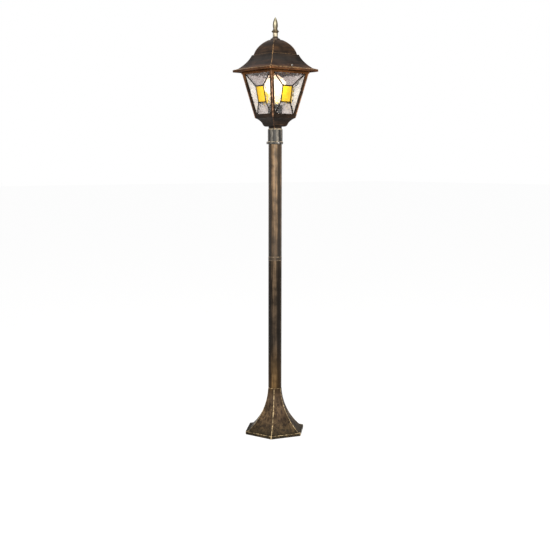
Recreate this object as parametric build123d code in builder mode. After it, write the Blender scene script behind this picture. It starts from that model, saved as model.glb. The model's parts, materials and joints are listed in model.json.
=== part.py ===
from build123d import *
from math import atan, atan2, cos, degrees, pi, radians, sin, sqrt
import os

os.makedirs("parts", exist_ok=True)

# Garden post lantern in millimetres: +Z up, origin at the centre of the foot's underside.
# The lantern's four sides face X and Y. The foot is a hexagon with one corner at -45 degrees.

# Clearances
slip_gap = 0.1            # between a round piece and the bore that it slips into
thread_gap = 0.05         # between a screw's shank and its threaded hole
seat_gap = 0.3            # between pieces that bear on each other lightly
corner_gap = 0.5          # between two panes in a corner of the frame

# Foot casting
foot_radius = 93.2        # from the axis to a corner of the plinth
plinth_height = 10.0
plinth_wall = 4.5
ledge_width = 8.0         # flat step round the foot of the flare
foot_height = 133.0       # up to the end of the pole
neck_height = 2.0         # round neck above the flare
neck_step = 0.2           # how far the neck stands inside the pole's surface
flare_step = 0.5
flare_sagitta = 12.5
foot_wall = 4.0
spigot_length = 40.0      # inside the lower tube
spigot_bore = 12.5

# Ground plate and what stands on it
plate_radius = 66.0
plate_thickness = 3.0
anchor_circle = 55.0      # radius of the circle of anchor holes
anchor_hole = 3.5
anchor_count = 3
tab_width = 14.0
tab_height = 7.0
tab_gap = 0.6             # between a tab and the plinth's inner wall
side_screw_height = 4.7
side_screw_shank = 1.5
side_screw_length = 9.0
side_screw_head = 3.0
side_screw_slot = 0.8
entry_offset = 24.0       # supply cable entry, from the axis towards -X
entry_hole = 7.0
grommet_bore = 4.5
grommet_lip = 2.0

# Electrical pieces in the foot
block_length = 32.0
block_width = 17.0
block_height = 12.5
block_ways = 3
block_groove = 1.2        # between two ways
block_screw = 1.9
block_screw_height = 2.2
cable_radius = 3.3
cable_bend = 30.0
cable_height = 9.5        # axis of the cable where it enters the terminal block
cable_tail = 9.0          # straight end of the cable before the block
cleat_width = 8.0
cleat_length = 24.0
cleat_height = 12.0
earth_place = (14.0, 40.0)
earth_shank = 2.0
earth_nut_height = 3.2
earth_nut_flats = 7.0
earth_head = 3.8
earth_head_height = 2.4
eye_radius = 4.6
eye_thickness = 1.2
earth_lead_radius = 1.1
earth_lead_bend = 12.0

# Small screws, used for the cleat, the frame and the glass clips
small_shank = 1.5
small_head = 2.8
small_head_height = 1.8

# Pole
tube_radius = 19.3
tube_wall = 1.6
lower_tube_length = 376.0
upper_tube_length = 359.0
coupler_band = 12.0
coupler_lip = 0.25        # how far the ring stands proud of the tubes
coupler_edge = 0.8        # bevel of the ring's two edges
coupler_spigot = 35.0
coupler_bore = 14.0

# Clamp collar
collar_radius = 21.2
collar_grip = 36.0        # length that holds the tube
collar_web = 9.0          # solid top above the tube's end
collar_shoulder = 5.0     # height of the rounded top
collar_shoulder_curve = 1.1
collar_crown = 17.6       # radius of the flat top
ring_radius = 22.6
ring_height = 8.0
ring_edge = 1.2           # bevel of the ring's edges
collar_screw_first = -12.0
collar_screw_count = 3
collar_screw_shank = 2.0
collar_screw_head = 3.9
collar_screw_head_height = 2.6
collar_screw_back = 0.3   # how far a screw's tip stays off the pole

# Neck joint
nipple_radius = 5.0
nipple_bore = 4.0
nipple_tail = 4.0         # thread showing below the lower nut
nut_flats = 14.0
nut_thickness = 4.0
washer_radius = 10.0
washer_thickness = 1.5

# Lower bowl
boss_radius = 19.0
boss_height = 5.0
bowl_height = 24.0
bowl_floor = 4.0
bowl_wall = 3.0
bowl_ledge = 0.4          # how far the bowl's rim stands inside the frame's foot
belly_half = 26.3         # half width at the end of the hollow curve
belly_height = 10.5
belly_curve = 1.5
keel_half = 24.0
keel_height = 5.0
keel_curve = 1.2
bottom_half = 17.8
bowl_post_radius = 4.0
frame_screw_depth = 8.0    # threaded depth in the bowl

# Lantern frame, half widths from the axis to a side
frame_foot_half = 41.4
frame_top_half = 67.1
frame_height = 123.0      # up to the top rail
foot_rail = 11.0
top_rail = 15.5
rail_lip = 2.1            # how far the top rail stands proud of the taper
rail_wall = 2.6
frame_wall = 2.2
post_leg = 8.5            # width of each leg of a corner post
bead_radius = 1.5
flange_thickness = 3.0
flange_hole = 24.5
frame_screw_place = 30.0
rib_length = 40.0         # low rib behind the foot of each pane
rib_height = 3.5
rib_width = 1.8
lug_width = 12.0          # lug on the rail's inner face that a roof screw bears on
lug_thickness = 3.0
lug_inset = 2.0           # from the rail's inner face to the lug's outer face
lug_above_rail = 7.3
lug_below_rail = 7.5
rail_hollow = 12.5        # depth of the top rail's upright inner face

# Leaded glass
glass_thickness = 2.2
came_flange = 0.7
came_heart = 1.2
came_width = 4.0
pane_overlap = 5.0        # how far a pane reaches above the window
yellow_width = 34.0
yellow_height = 46.0
yellow_foot = 43.9        # up the slope from the frame's foot
clip_place = 30.0         # from the middle of a side
clip_width = 8.0
clip_thickness = 0.8
clip_reach = 9.0          # tongue that presses on the pane
clip_screw_drop = 4.0     # below the frame's top
clip_drop = 0.5           # from the frame's top to the clip's top
clip_lift = 2.4           # from the pane's top edge up to the clip's bend

# Roof, half widths from the axis to a side
eave_half = 87.0
eave_drop = 9.0           # from the frame's top down to the eave
fascia_height = 6.5
shoulder_half = 76.5
shoulder_rise = 3.5
flare_rise = 38.0
flare_curve = 3.3
step_half = 47.0
dome_half = 43.6
dome_rise = 41.5
dome_curve = 4.9
crown_half = 13.0
roof_wall = 2.4
seat_rib_place = 48.0
seat_rib_width = 3.0
seat_rib_height = 16.0
seat_rib_inset = 9.0
mitre_gap = 0.1           # weld between two plates of the roof

# Roof screws, along X
roof_screw_rise = 5.0     # above the frame's top
boss_outer = 4.2
boss_length = 6.0
boss_inset = 2.9          # from the lug's face to the boss
roof_screw_shank = 1.7
roof_screw_head = 3.3
roof_screw_head_height = 2.4
seal_thickness = 0.8
seal_radius = 3.1

# Finial
finial_height = 63.0
finial_foot = 14.2
finial_foot_height = 9.5
finial_foot_edge = 1.4
finial_foot_curve = 1.6
finial_neck = 6.8
finial_ring = 10.8
finial_ring_height = 23.8
finial_ring_width = 6.8
finial_ring_flare = 0.8   # how far the ring's root stands proud of the neck
finial_waist = 4.2
finial_waist_height = 34.0
finial_waist_curve = 0.8
finial_spear = 6.3
finial_spear_height = 42.0
finial_spear_curve = 1.4
finial_tip = 0.5
finial_stud = 3.0
finial_stud_length = 14.0
finial_washer = 8.0
finial_nut_flats = 10.0
finial_nut_height = 5.0

# Lampholder
holder_radius = 19.5
holder_wall = 2.2
holder_cap_height = 16.0
holder_shell_height = 36.0
holder_entry_radius = 8.5
holder_entry_height = 4.0
holder_cap_side = 5.0     # straight side of the cap, up to the shell
holder_cap_curve = 1.6
holder_lip = 0.8          # bead round the shell's mouth
holder_lip_height = 3.0
insert_height = 9.0
sleeve_wall = 0.5
sleeve_height = 25.0
sleeve_flange = 1.5
wire_place = 8.0          # from the axis to a wire's socket in the insert
wire_radius = 0.9
wire_socket = 4.0
contact_width = 6.0
contact_rise = 3.2
contact_thickness = 0.6
contact_reach = 10.5
contact_knee = 6.0

# Bulb
bulb_radius = 30.0
bulb_length = 106.0
cap_radius = 13.1
cap_clearance = 0.35      # between the bulb's cap and the thread sleeve
cap_length = 23.0
cap_thickness = 0.3
thread_pitch = 3.63
thread_depth = 0.9
thread_turns = 4
insulator_height = 5.0
tip_radius = 4.6
tip_height = 1.2
envelope_wall = 1.0
neck_rise = 7.0           # straight neck above the cap
neck_overlap = 6.0        # neck inside the cap
stem_radius = 5.0
stem_height = 38.0
stem_foot_height = 2.0
filament_radius = 0.9
filament_length = 32.0
filament_circle = 9.0
filament_drop = 20.0      # how far the filaments start below the stem's top
filament_arm = 0.4
filament_count = 4


# Levels worked out from the sizes
tube_bore = tube_radius - tube_wall
coupler_foot = foot_height + lower_tube_length
upper_tube_foot = coupler_foot + coupler_band
pole_top = upper_tube_foot + upper_tube_length
collar_foot = pole_top - collar_grip
collar_top = pole_top + collar_web
bowl_foot = collar_top + boss_height
frame_foot = bowl_foot + bowl_height
bowl_floor_top = bowl_foot + bowl_floor
window_foot = frame_foot + foot_rail
window_top = frame_foot + frame_height
frame_top = window_top + top_rail
eave_foot = frame_top - eave_drop
fascia_top = eave_foot + fascia_height
shoulder_top = fascia_top + shoulder_rise
step_level = shoulder_top + flare_rise
crown_level = step_level + dome_rise
lantern_top = crown_level + finial_height
washer_foot = bowl_floor_top
upper_nut_foot = washer_foot + washer_thickness
holder_foot = upper_nut_foot + nut_thickness
holder_shell_foot = holder_foot + holder_cap_height
insert_top = holder_shell_foot + insert_height
bulb_foot = insert_top + contact_rise + contact_thickness + seat_gap
cap_foot = bulb_foot + tip_height + insulator_height
cap_top = cap_foot + cap_length
bulb_top = bulb_foot + bulb_length
sleeve_radius = cap_radius + cap_clearance

# Shapes worked out from the sizes
foot_side_angles = (-15.0, 45.0, 105.0)
lantern_side_angles = (0.0, 90.0)
all_sides = {"right": 0.0, "back": 90.0, "left": 180.0, "front": 270.0}
foot_half = foot_radius * cos(radians(30))
flare_half = foot_half - ledge_width
taper = (frame_top_half - frame_foot_half) / frame_height
lean = degrees(atan(taper))
slope = cos(radians(lean))
came_thickness = glass_thickness + 2 * came_flange
rail_half = frame_top_half + rail_lip
rail_inner = rail_half - rail_wall
lug_face = rail_inner - lug_inset
roof_screw_level = frame_top + roof_screw_rise
boss_face = lug_face + boss_inset + boss_length


def direction(angle):
    return Vector(cos(radians(angle)), sin(radians(angle)), 0)


def section_plane(angle, shift=0.0):
    # Upright plane through the axis: its x runs outwards at the angle, its y runs up
    outwards = direction(angle)
    sideways = direction(angle - 90)
    return Plane(origin=sideways * shift, x_dir=outwards, z_dir=sideways)


def flat_sided(outline, side_angles, reach):
    # A form with straight sides: the outline swept across each pair of opposite sides
    with BuildPart() as form:
        for number, angle in enumerate(side_angles):
            with BuildSketch(section_plane(angle, -reach)):
                add(outline)
            extrude(amount=2 * reach, mode=Mode.INTERSECT if number else Mode.ADD)
    return form.part


def turned(points):
    # Adds a turned solid to the current part from radius and height pairs
    with BuildSketch(Plane.XZ) as half_section:
        with BuildLine():
            Polyline(*points, close=True)
        make_face()
    revolve(half_section.sketch, axis=Axis.Z)


def turned_ring(inner, outer, low, high):
    turned([(inner, low), (outer, low), (outer, high), (inner, high)])


def add_screw(seat, shank, length, head, head_height, slot=True):
    # A screw whose head stands on the seat plane, with its shank behind the plane
    with BuildSketch(seat) as head_outline:
        Circle(head)
    extrude(head_outline.sketch, amount=head_height)
    with BuildSketch(seat) as shank_outline:
        Circle(shank)
    extrude(shank_outline.sketch, amount=-length)
    if slot:
        with BuildSketch(seat.offset(head_height)) as slot_outline:
            Rectangle(1.7 * head, 0.3 * head)
        extrude(slot_outline.sketch, amount=-0.4 * head_height, mode=Mode.SUBTRACT)


def add_nut(seat, flats, bore, thickness):
    with BuildSketch(seat) as outline:
        RegularPolygon(flats / 2, 6, major_radius=False)
        Circle(bore, mode=Mode.SUBTRACT)
    extrude(outline.sketch, amount=thickness)


def drill(seat, radius, depth):
    with BuildSketch(seat) as mouth:
        Circle(radius)
    extrude(mouth.sketch, amount=-depth, mode=Mode.SUBTRACT)


def write(builder, label):
    builder.part.label = label
    export_step(builder.part, f"parts/{label}.step")


# Foot casting: hexagonal plinth, hollow concave flare, round neck and the spigot in the pole
flare_top = foot_height - neck_height
flare_top_half = tube_radius - flare_step

with BuildSketch() as foot_outline:
    with BuildLine():
        Polyline((0, 0), (foot_half, 0), (foot_half, plinth_height), (flare_half, plinth_height))
        SagittaArc((flare_half, plinth_height), (flare_top_half, flare_top), flare_sagitta)
        Polyline((flare_top_half, flare_top), (0, flare_top), (0, 0))
    make_face()
    mirror(about=Plane.YZ)

foot_step = 0.7 * foot_wall
cavity_half = flare_half - foot_step
cavity_top_half = flare_top_half - foot_wall
plinth_inner = foot_half - plinth_wall

with BuildSketch() as foot_cavity_outline:
    with BuildLine():
        Polyline((0, -1), (plinth_inner, -1), (plinth_inner, plinth_height - foot_step),
                 (cavity_half, plinth_height - foot_step))
        SagittaArc((cavity_half, plinth_height - foot_step), (cavity_top_half, flare_top),
                   flare_sagitta)
        Polyline((cavity_top_half, flare_top), (0, flare_top), (0, -1))
    make_face()
    mirror(about=Plane.YZ)

foot_form = flat_sided(foot_outline.sketch, foot_side_angles, foot_radius)
foot_cavity = flat_sided(foot_cavity_outline.sketch, foot_side_angles, foot_radius)
side_screw_angles = (45.0, 225.0)


def foot_side_plane(angle):
    # Upright plane on a flat of the plinth, at the height of its screw
    place = direction(angle) * foot_half + Vector(0, 0, side_screw_height)
    return Plane(origin=place, x_dir=direction(angle + 90), z_dir=direction(angle))


with BuildPart() as base_casting:
    add(foot_form)
    with BuildSketch(Plane.XY.offset(flare_top)):
        Circle(tube_radius - neck_step)
    extrude(amount=neck_height)
    with BuildSketch(Plane.XY.offset(foot_height)):
        Circle(tube_bore - slip_gap)
    extrude(amount=spigot_length)
    add(foot_cavity, mode=Mode.SUBTRACT)
    drill(Plane.XY.offset(foot_height + spigot_length), spigot_bore,
          spigot_length + neck_height + foot_wall)
    for angle in side_screw_angles:
        with Locations(foot_side_plane(angle)):
            CounterSinkHole(side_screw_shank + slip_gap, side_screw_head, plinth_wall + 1)
write(base_casting, "base_casting")

# Ground plate: a steel disc with two upright tabs for the side screws
tab_face = plinth_inner - tab_gap


def anchor_places():
    return PolarLocations(anchor_circle, anchor_count, start_angle=90)


with BuildPart() as ground_plate:
    with BuildSketch():
        Circle(plate_radius)
        for angle in side_screw_angles:
            with Locations(Location(direction(angle) * (tab_face / 2), (0, 0, angle))):
                Rectangle(tab_face, tab_width)
    extrude(amount=plate_thickness)
    for angle in side_screw_angles:
        place = direction(angle) * (tab_face - plate_thickness / 2)
        with BuildSketch(Plane(origin=place, x_dir=direction(angle), z_dir=(0, 0, 1))):
            Rectangle(plate_thickness, tab_width)
        extrude(amount=tab_height)
        drill(foot_side_plane(angle), side_screw_shank + thread_gap, side_screw_length * 1.5)
    with BuildSketch():
        with anchor_places():
            Circle(anchor_hole)
        with Locations((-entry_offset, 0)):
            Circle(entry_hole)
        with Locations(earth_place):
            Circle(earth_shank + thread_gap)
    extrude(amount=plate_thickness, mode=Mode.SUBTRACT)
write(ground_plate, "ground_plate")

with BuildPart() as base_side_screws:
    for angle in side_screw_angles:
        place = foot_side_plane(angle)
        cone = side_screw_head - side_screw_shank - slip_gap
        with BuildSketch(place):
            Circle(side_screw_head - slip_gap)
        with BuildSketch(place.offset(-cone)):
            Circle(side_screw_shank)
        loft()
        with BuildSketch(place.offset(-cone)):
            Circle(side_screw_shank)
        extrude(amount=-(side_screw_length - cone))
        with BuildSketch(place):
            Rectangle(side_screw_head, side_screw_slot)
        extrude(amount=-side_screw_slot, mode=Mode.SUBTRACT)
write(base_side_screws, "base_side_screws")

# Rubber grommet in the supply cable's entry
with BuildPart() as cable_grommet:
    with BuildSketch(Plane.XY.offset(plate_thickness)):
        with Locations((-entry_offset, 0)):
            Circle(entry_hole + grommet_lip)
    extrude(amount=grommet_lip)
    with BuildSketch():
        with Locations((-entry_offset, 0)):
            Circle(entry_hole - slip_gap)
    extrude(amount=plate_thickness)
    with BuildSketch():
        with Locations((-entry_offset, 0)):
            Circle(grommet_bore)
    extrude(amount=plate_thickness + grommet_lip, mode=Mode.SUBTRACT)
write(cable_grommet, "cable_grommet")

# Cable: down the pole's axis, one bend onto the plate, and into the terminal block
cable_end = cable_bend + cable_tail
block_x = cable_end + block_width / 2
cable_top = holder_foot + holder_entry_height + 3
with BuildPart() as inner_cable:
    with BuildLine() as cable_route:
        Line((cable_end, 0, cable_height), (cable_bend, 0, cable_height))
        ThreePointArc((cable_bend, 0, cable_height),
                      (cable_bend * (1 - sin(pi / 4)), 0,
                       cable_height + cable_bend * (1 - cos(pi / 4))),
                      (0, 0, cable_height + cable_bend))
        Line((0, 0, cable_height + cable_bend), (0, 0, cable_top))
    with BuildSketch(Plane(origin=(cable_end, 0, cable_height), z_dir=(-1, 0, 0))):
        Circle(cable_radius)
    sweep(path=cable_route.wire())
write(inner_cable, "inner_cable")

# Terminal block, its screws, and the cleat that holds the cable in front of it
way_pitch = block_length / block_ways
block_place = Plane(origin=(block_x, 0, plate_thickness))
with BuildPart() as terminal_block:
    with BuildSketch(block_place):
        Rectangle(block_width, block_length)
    extrude(amount=block_height)
    with BuildSketch(block_place.offset(block_height)):
        with GridLocations(block_width, way_pitch, 1, block_ways + 1):
            Rectangle(block_width, block_groove)
        with GridLocations(block_width / 2, way_pitch, 2, block_ways):
            Circle(block_screw + seat_gap)
    extrude(amount=-block_height / 3, mode=Mode.SUBTRACT)
write(terminal_block, "terminal_block")

with BuildPart() as terminal_screws:
    screw_seat = block_place.offset(block_height * 2 / 3)
    with BuildSketch(screw_seat):
        with GridLocations(block_width / 2, way_pitch, 2, block_ways):
            Circle(block_screw)
    extrude(amount=block_screw_height)
    with BuildSketch(screw_seat.offset(block_screw_height)):
        with GridLocations(block_width / 2, way_pitch, 2, block_ways):
            Rectangle(1.6 * block_screw, 0.3 * block_screw)
    extrude(amount=-0.4 * block_screw_height, mode=Mode.SUBTRACT)
write(terminal_screws, "terminal_screws")

cleat_x = cable_end - seat_gap - cleat_width / 2
cleat_screw_place = cleat_length / 2 - small_head - seat_gap


def cleat_screw_seat(side):
    return Plane(origin=(cleat_x, side * cleat_screw_place, plate_thickness + cleat_height))


with BuildPart() as cable_cleat:
    with BuildSketch(Plane(origin=(cleat_x - cleat_width / 2, 0, 0), x_dir=(0, 1, 0),
                           z_dir=(1, 0, 0))):
        with Locations((0, plate_thickness + cleat_height / 2)):
            Rectangle(cleat_length, cleat_height)
        with Locations((0, cable_height)):
            Circle(cable_radius + slip_gap, mode=Mode.SUBTRACT)
    extrude(amount=cleat_width)
    for side in (1, -1):
        drill(cleat_screw_seat(side), small_shank + thread_gap, cleat_height)
write(cable_cleat, "cable_cleat")

with BuildPart() as cleat_screws:
    for side in (1, -1):
        add_screw(cleat_screw_seat(side), small_shank, cleat_height - 1, small_head,
                  small_head_height)
write(cleat_screws, "cleat_screws")

# Earth screw with its nut, and the lead from the terminal block
earth_seat = Plane(origin=(earth_place[0], earth_place[1], plate_thickness))
with BuildPart() as earth_nut:
    add_nut(earth_seat, earth_nut_flats, earth_shank + thread_gap, earth_nut_height)
write(earth_nut, "earth_nut")

# The earth screw goes down through the lead's eye and the nut into the plate
with BuildPart() as earth_screw:
    add_screw(earth_seat.offset(earth_nut_height + eye_thickness), earth_shank,
              earth_nut_height + eye_thickness + plate_thickness - seat_gap, earth_head,
              earth_head_height)
write(earth_screw, "earth_screw")

lead_level = plate_thickness + earth_nut_height + eye_thickness / 2
lead_start = Vector(block_x, block_length / 2, lead_level)
lead_knee = Vector(block_x, earth_place[1], lead_level)
lead_end = Vector(earth_place[0] + eye_radius - 0.4, earth_place[1], lead_level)
with BuildPart() as earth_lead:
    with BuildLine() as lead_route:
        FilletPolyline(lead_start, lead_knee, lead_end, radius=earth_lead_bend)
    with BuildSketch(Plane(origin=lead_start, z_dir=(0, 1, 0))):
        Circle(earth_lead_radius)
    sweep(path=lead_route.wire())
    with BuildSketch(earth_seat.offset(earth_nut_height)):
        Circle(eye_radius)
    extrude(amount=eye_thickness)
    drill(earth_seat.offset(earth_nut_height + eye_thickness), earth_shank + slip_gap, eye_thickness)
write(earth_lead, "earth_lead")

# Pole: two tubes joined by a coupler whose ring shows between them
with BuildPart() as lower_tube:
    turned_ring(tube_bore, tube_radius, foot_height, coupler_foot)
write(lower_tube, "lower_tube")

with BuildPart() as upper_tube:
    turned_ring(tube_bore, tube_radius, upper_tube_foot, pole_top)
write(upper_tube, "upper_tube")

coupler_radius = tube_radius + coupler_lip
coupler_neck = tube_bore - slip_gap
coupler_low = coupler_foot - coupler_spigot
coupler_high = upper_tube_foot + coupler_spigot
with BuildPart() as tube_coupler:
    turned([(coupler_bore, coupler_low), (coupler_neck, coupler_low),
            (coupler_neck, coupler_foot), (tube_radius - coupler_lip, coupler_foot),
            (coupler_radius, coupler_foot + coupler_edge),
            (coupler_radius, upper_tube_foot - coupler_edge),
            (tube_radius - coupler_lip, upper_tube_foot), (coupler_neck, upper_tube_foot),
            (coupler_neck, coupler_high), (coupler_bore, coupler_high)])
write(tube_coupler, "tube_coupler")

# Clamp collar: slips over the pole, with a thick ring for three screws and a web on top
collar_bore = tube_radius + slip_gap
ring_top = collar_foot + ring_height
shoulder_foot = collar_top - collar_shoulder


def collar_screw_seat(number):
    # Upright plane just off the ring's surface, facing outwards, where a screw's head sits
    outwards = direction(collar_screw_first + number * 360 / collar_screw_count)
    place = outwards * (ring_radius + slip_gap) + Vector(0, 0, collar_foot + ring_height / 2)
    return Plane(origin=place, z_dir=outwards)


with BuildPart() as clamp_collar:
    with BuildSketch(Plane.XZ):
        with BuildLine():
            Polyline((nipple_radius + slip_gap, pole_top), (collar_bore, pole_top),
                     (collar_bore, collar_foot), (ring_radius - ring_edge, collar_foot),
                     (ring_radius, collar_foot + ring_edge), (ring_radius, ring_top - ring_edge),
                     (collar_radius, ring_top), (collar_radius, shoulder_foot))
            SagittaArc((collar_radius, shoulder_foot), (collar_crown, collar_top),
                       -collar_shoulder_curve)
            Polyline((collar_crown, collar_top), (nipple_radius + slip_gap, collar_top),
                     (nipple_radius + slip_gap, pole_top))
        make_face()
    revolve(axis=Axis.Z)
    for number in range(collar_screw_count):
        drill(collar_screw_seat(number), collar_screw_shank + thread_gap, ring_radius - tube_radius)
write(clamp_collar, "clamp_collar")

with BuildPart() as collar_screws:
    for number in range(collar_screw_count):
        add_screw(collar_screw_seat(number), collar_screw_shank,
                  ring_radius + slip_gap - tube_radius - collar_screw_back, collar_screw_head,
                  collar_screw_head_height)
write(collar_screws, "collar_screws")

# Neck joint: a hollow threaded nipple with a nut under the web and one in the bowl
with BuildPart() as neck_nipple:
    turned_ring(nipple_bore, nipple_radius, pole_top - nut_thickness - nipple_tail,
                holder_foot + holder_entry_height)
write(neck_nipple, "neck_nipple")

with BuildPart() as neck_nut_lower:
    add_nut(Plane.XY.offset(pole_top - nut_thickness), nut_flats, nipple_radius + thread_gap,
            nut_thickness)
write(neck_nut_lower, "neck_nut_lower")

with BuildPart() as neck_washer:
    turned_ring(nipple_radius + slip_gap, washer_radius, washer_foot,
                washer_foot + washer_thickness)
write(neck_washer, "neck_washer")

with BuildPart() as neck_nut_upper:
    add_nut(Plane.XY.offset(upper_nut_foot), nut_flats, nipple_radius + thread_gap, nut_thickness)
write(neck_nut_upper, "neck_nut_upper")

# Lower bowl: a four-sided casting with a hollow curve above a rounded keel
rim_half = frame_foot_half - bowl_ledge
with BuildSketch() as bowl_outline:
    with BuildLine():
        Polyline((0, bowl_foot), (bottom_half, bowl_foot))
        SagittaArc((bottom_half, bowl_foot), (keel_half, bowl_foot + keel_height), -keel_curve)
        Line((keel_half, bowl_foot + keel_height), (belly_half, bowl_foot + belly_height))
        SagittaArc((belly_half, bowl_foot + belly_height), (rim_half, frame_foot), belly_curve)
        Polyline((rim_half, frame_foot), (0, frame_foot), (0, bowl_foot))
    make_face()
    mirror(about=Plane.YZ)

with BuildSketch() as bowl_cavity_outline:
    with BuildLine():
        Polyline((0, bowl_floor_top), (keel_half - bowl_wall, bowl_floor_top))
        Line((keel_half - bowl_wall, bowl_floor_top),
             (belly_half - bowl_wall, bowl_foot + belly_height + bowl_wall / 2))
        SagittaArc((belly_half - bowl_wall, bowl_foot + belly_height + bowl_wall / 2),
                   (rim_half - bowl_wall, frame_foot), belly_curve)
        Polyline((rim_half - bowl_wall, frame_foot), (0, frame_foot), (0, bowl_floor_top))
    make_face()
    mirror(about=Plane.YZ)

bowl_form = flat_sided(bowl_outline.sketch, lantern_side_angles, frame_foot_half)
bowl_cavity = flat_sided(bowl_cavity_outline.sketch, lantern_side_angles, frame_foot_half)


def frame_screw_places():
    return PolarLocations(frame_screw_place, len(all_sides))


with BuildPart() as bowl_posts:
    with BuildSketch(Plane.XY.offset(bowl_foot)):
        with frame_screw_places():
            Circle(bowl_post_radius)
    extrude(amount=bowl_height)
    add(bowl_form, mode=Mode.INTERSECT)

with BuildPart() as lower_bowl:
    add(bowl_form)
    add(bowl_cavity, mode=Mode.SUBTRACT)
    add(bowl_posts.part)
    with BuildSketch(Plane.XY.offset(collar_top)):
        Circle(boss_radius)
    extrude(amount=boss_height)
    drill(Plane.XY.offset(bowl_floor_top), nipple_radius + slip_gap, bowl_floor + boss_height)
    with BuildSketch(Plane.XY.offset(frame_foot)):
        with frame_screw_places():
            Circle(small_shank + thread_gap)
    extrude(amount=-frame_screw_depth, mode=Mode.SUBTRACT)
write(lower_bowl, "lower_bowl")

# Lantern frame: bottom flange and rail, four tapering posts, upright top rail
flange_top = frame_foot + flange_thickness
wall_across = frame_wall / slope
rail_step = frame_top - rail_hollow


def half_at(level):
    # Half width of the frame's outer taper at a level
    return frame_foot_half + (level - frame_foot) * taper


with BuildSketch() as frame_outline:
    with BuildLine():
        Polyline((0, frame_foot), (frame_foot_half, frame_foot), (frame_top_half, window_top),
                 (rail_half, window_top + rail_lip), (rail_half, frame_top), (0, frame_top),
                 (0, frame_foot))
    make_face()
    mirror(about=Plane.YZ)

with BuildSketch() as frame_cavity_outline:
    with BuildLine():
        Polyline((0, flange_top), (half_at(flange_top) - wall_across, flange_top),
                 (half_at(rail_step) - wall_across, rail_step), (rail_inner, rail_step),
                 (rail_inner, frame_top + 1), (0, frame_top + 1), (0, flange_top))
    make_face()
    mirror(about=Plane.YZ)

frame_form = flat_sided(frame_outline.sketch, lantern_side_angles, 2 * rail_half)
frame_cavity = flat_sided(frame_cavity_outline.sketch, lantern_side_angles, 2 * rail_half)


def side_plane(angle, inset=0.0):
    # Plane of a sloping side: x runs sideways, y up the slope, z outwards
    outwards = direction(angle) * slope - Vector(0, 0, sin(radians(lean)))
    foot = direction(angle) * frame_foot_half + Vector(0, 0, frame_foot)
    return Plane(origin=foot - outwards * inset, x_dir=direction(angle + 90), z_dir=outwards)


def up_slope(level, inset=0.0):
    # Distance up the slope, in a plane set in from the side, of a point at this level
    return (level - frame_foot - inset * sin(radians(lean))) / slope


def slope_half(distance):
    # Half width of a side at a distance up its slope
    return frame_foot_half + distance * sin(radians(lean))


def frame_corner(angle, level, inwards):
    half = half_at(level) - inwards
    return direction(angle + 45) * (half / cos(radians(45))) + Vector(0, 0, level)


clip_level = frame_top - clip_screw_drop


def clip_screw_seat(angle, side, distance):
    # Upright plane on the top rail, facing outwards, where a clip's screw goes through
    place = direction(angle) * distance + direction(angle + 90) * side * clip_place
    return Plane(origin=place + Vector(0, 0, clip_level), z_dir=direction(angle))


window_low = up_slope(window_foot)
window_high = up_slope(window_top)
bead_inset = bead_radius * 0.8
with BuildPart() as lantern_frame:
    add(frame_form)
    add(frame_cavity, mode=Mode.SUBTRACT)
    drill(Plane.XY.offset(flange_top), flange_hole, flange_thickness)
    for angle in all_sides.values():
        with BuildSketch(side_plane(angle, -1)):
            Polygon((slope_half(window_low) - post_leg, window_low),
                    (slope_half(window_high) - post_leg, window_high),
                    (post_leg - slope_half(window_high), window_high),
                    (post_leg - slope_half(window_low), window_low), align=None)
        extrude(amount=-frame_wall - 2, mode=Mode.SUBTRACT)
    for angle in all_sides.values():
        low = frame_corner(angle, frame_foot + bead_radius / 2, bead_inset)
        high = frame_corner(angle, window_top + rail_lip, bead_inset)
        with BuildSketch(Plane(origin=low, z_dir=high - low)):
            Circle(bead_radius)
        extrude(amount=(high - low).length)
    with BuildSketch(Plane.XY.offset(frame_foot)):
        with frame_screw_places():
            Circle(small_shank + slip_gap)
    extrude(amount=flange_thickness, mode=Mode.SUBTRACT)
    for angle in all_sides.values():
        rib_face = half_at(flange_top) - (frame_wall + came_thickness) / slope - seat_gap
        place = direction(angle) * (rib_face - rib_width / 2) + Vector(0, 0, flange_top)
        with BuildSketch(Plane(origin=place, x_dir=direction(angle), z_dir=(0, 0, 1))):
            Rectangle(rib_width, rib_length)
        extrude(amount=rib_height)
    for angle in all_sides.values():
        for side in (1, -1):
            drill(clip_screw_seat(angle, side, rail_half), small_shank + thread_gap, rail_wall)
write(lantern_frame, "lantern_frame")

# Two steel lugs brazed inside the top rail, on the left and the right
with BuildPart() as roof_lugs:
    for side in (1, -1):
        lug_middle = side * (lug_face - lug_thickness / 2)
        foot_middle = side * (lug_face + lug_inset / 2)
        with BuildSketch(Plane(origin=(lug_middle, 0, frame_top - lug_below_rail))):
            Rectangle(lug_thickness, lug_width)
        extrude(amount=lug_below_rail + lug_above_rail)
        with BuildSketch(Plane(origin=(foot_middle, 0, frame_top - lug_below_rail))):
            Rectangle(lug_inset, lug_width)
        extrude(amount=lug_below_rail)
write(roof_lugs, "roof_lugs")

with BuildPart() as frame_screws:
    for number in range(len(all_sides)):
        place = direction(number * 360 / len(all_sides)) * frame_screw_place
        add_screw(Plane(origin=place + Vector(0, 0, flange_top)), small_shank,
                  flange_thickness + frame_screw_depth - 1, small_head, small_head_height)
write(frame_screws, "frame_screws")

# Leaded glass: five fields in each side, divided by lines from the middle to the corners
pane_inset = frame_wall
glass_inset = frame_wall + came_flange
pane_low = up_slope(flange_top + seat_gap, pane_inset)
pane_high = up_slope(window_top + pane_overlap, pane_inset)


def pane_half(distance):
    return slope_half(distance) - (frame_wall + came_thickness) / slope - corner_gap


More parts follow.
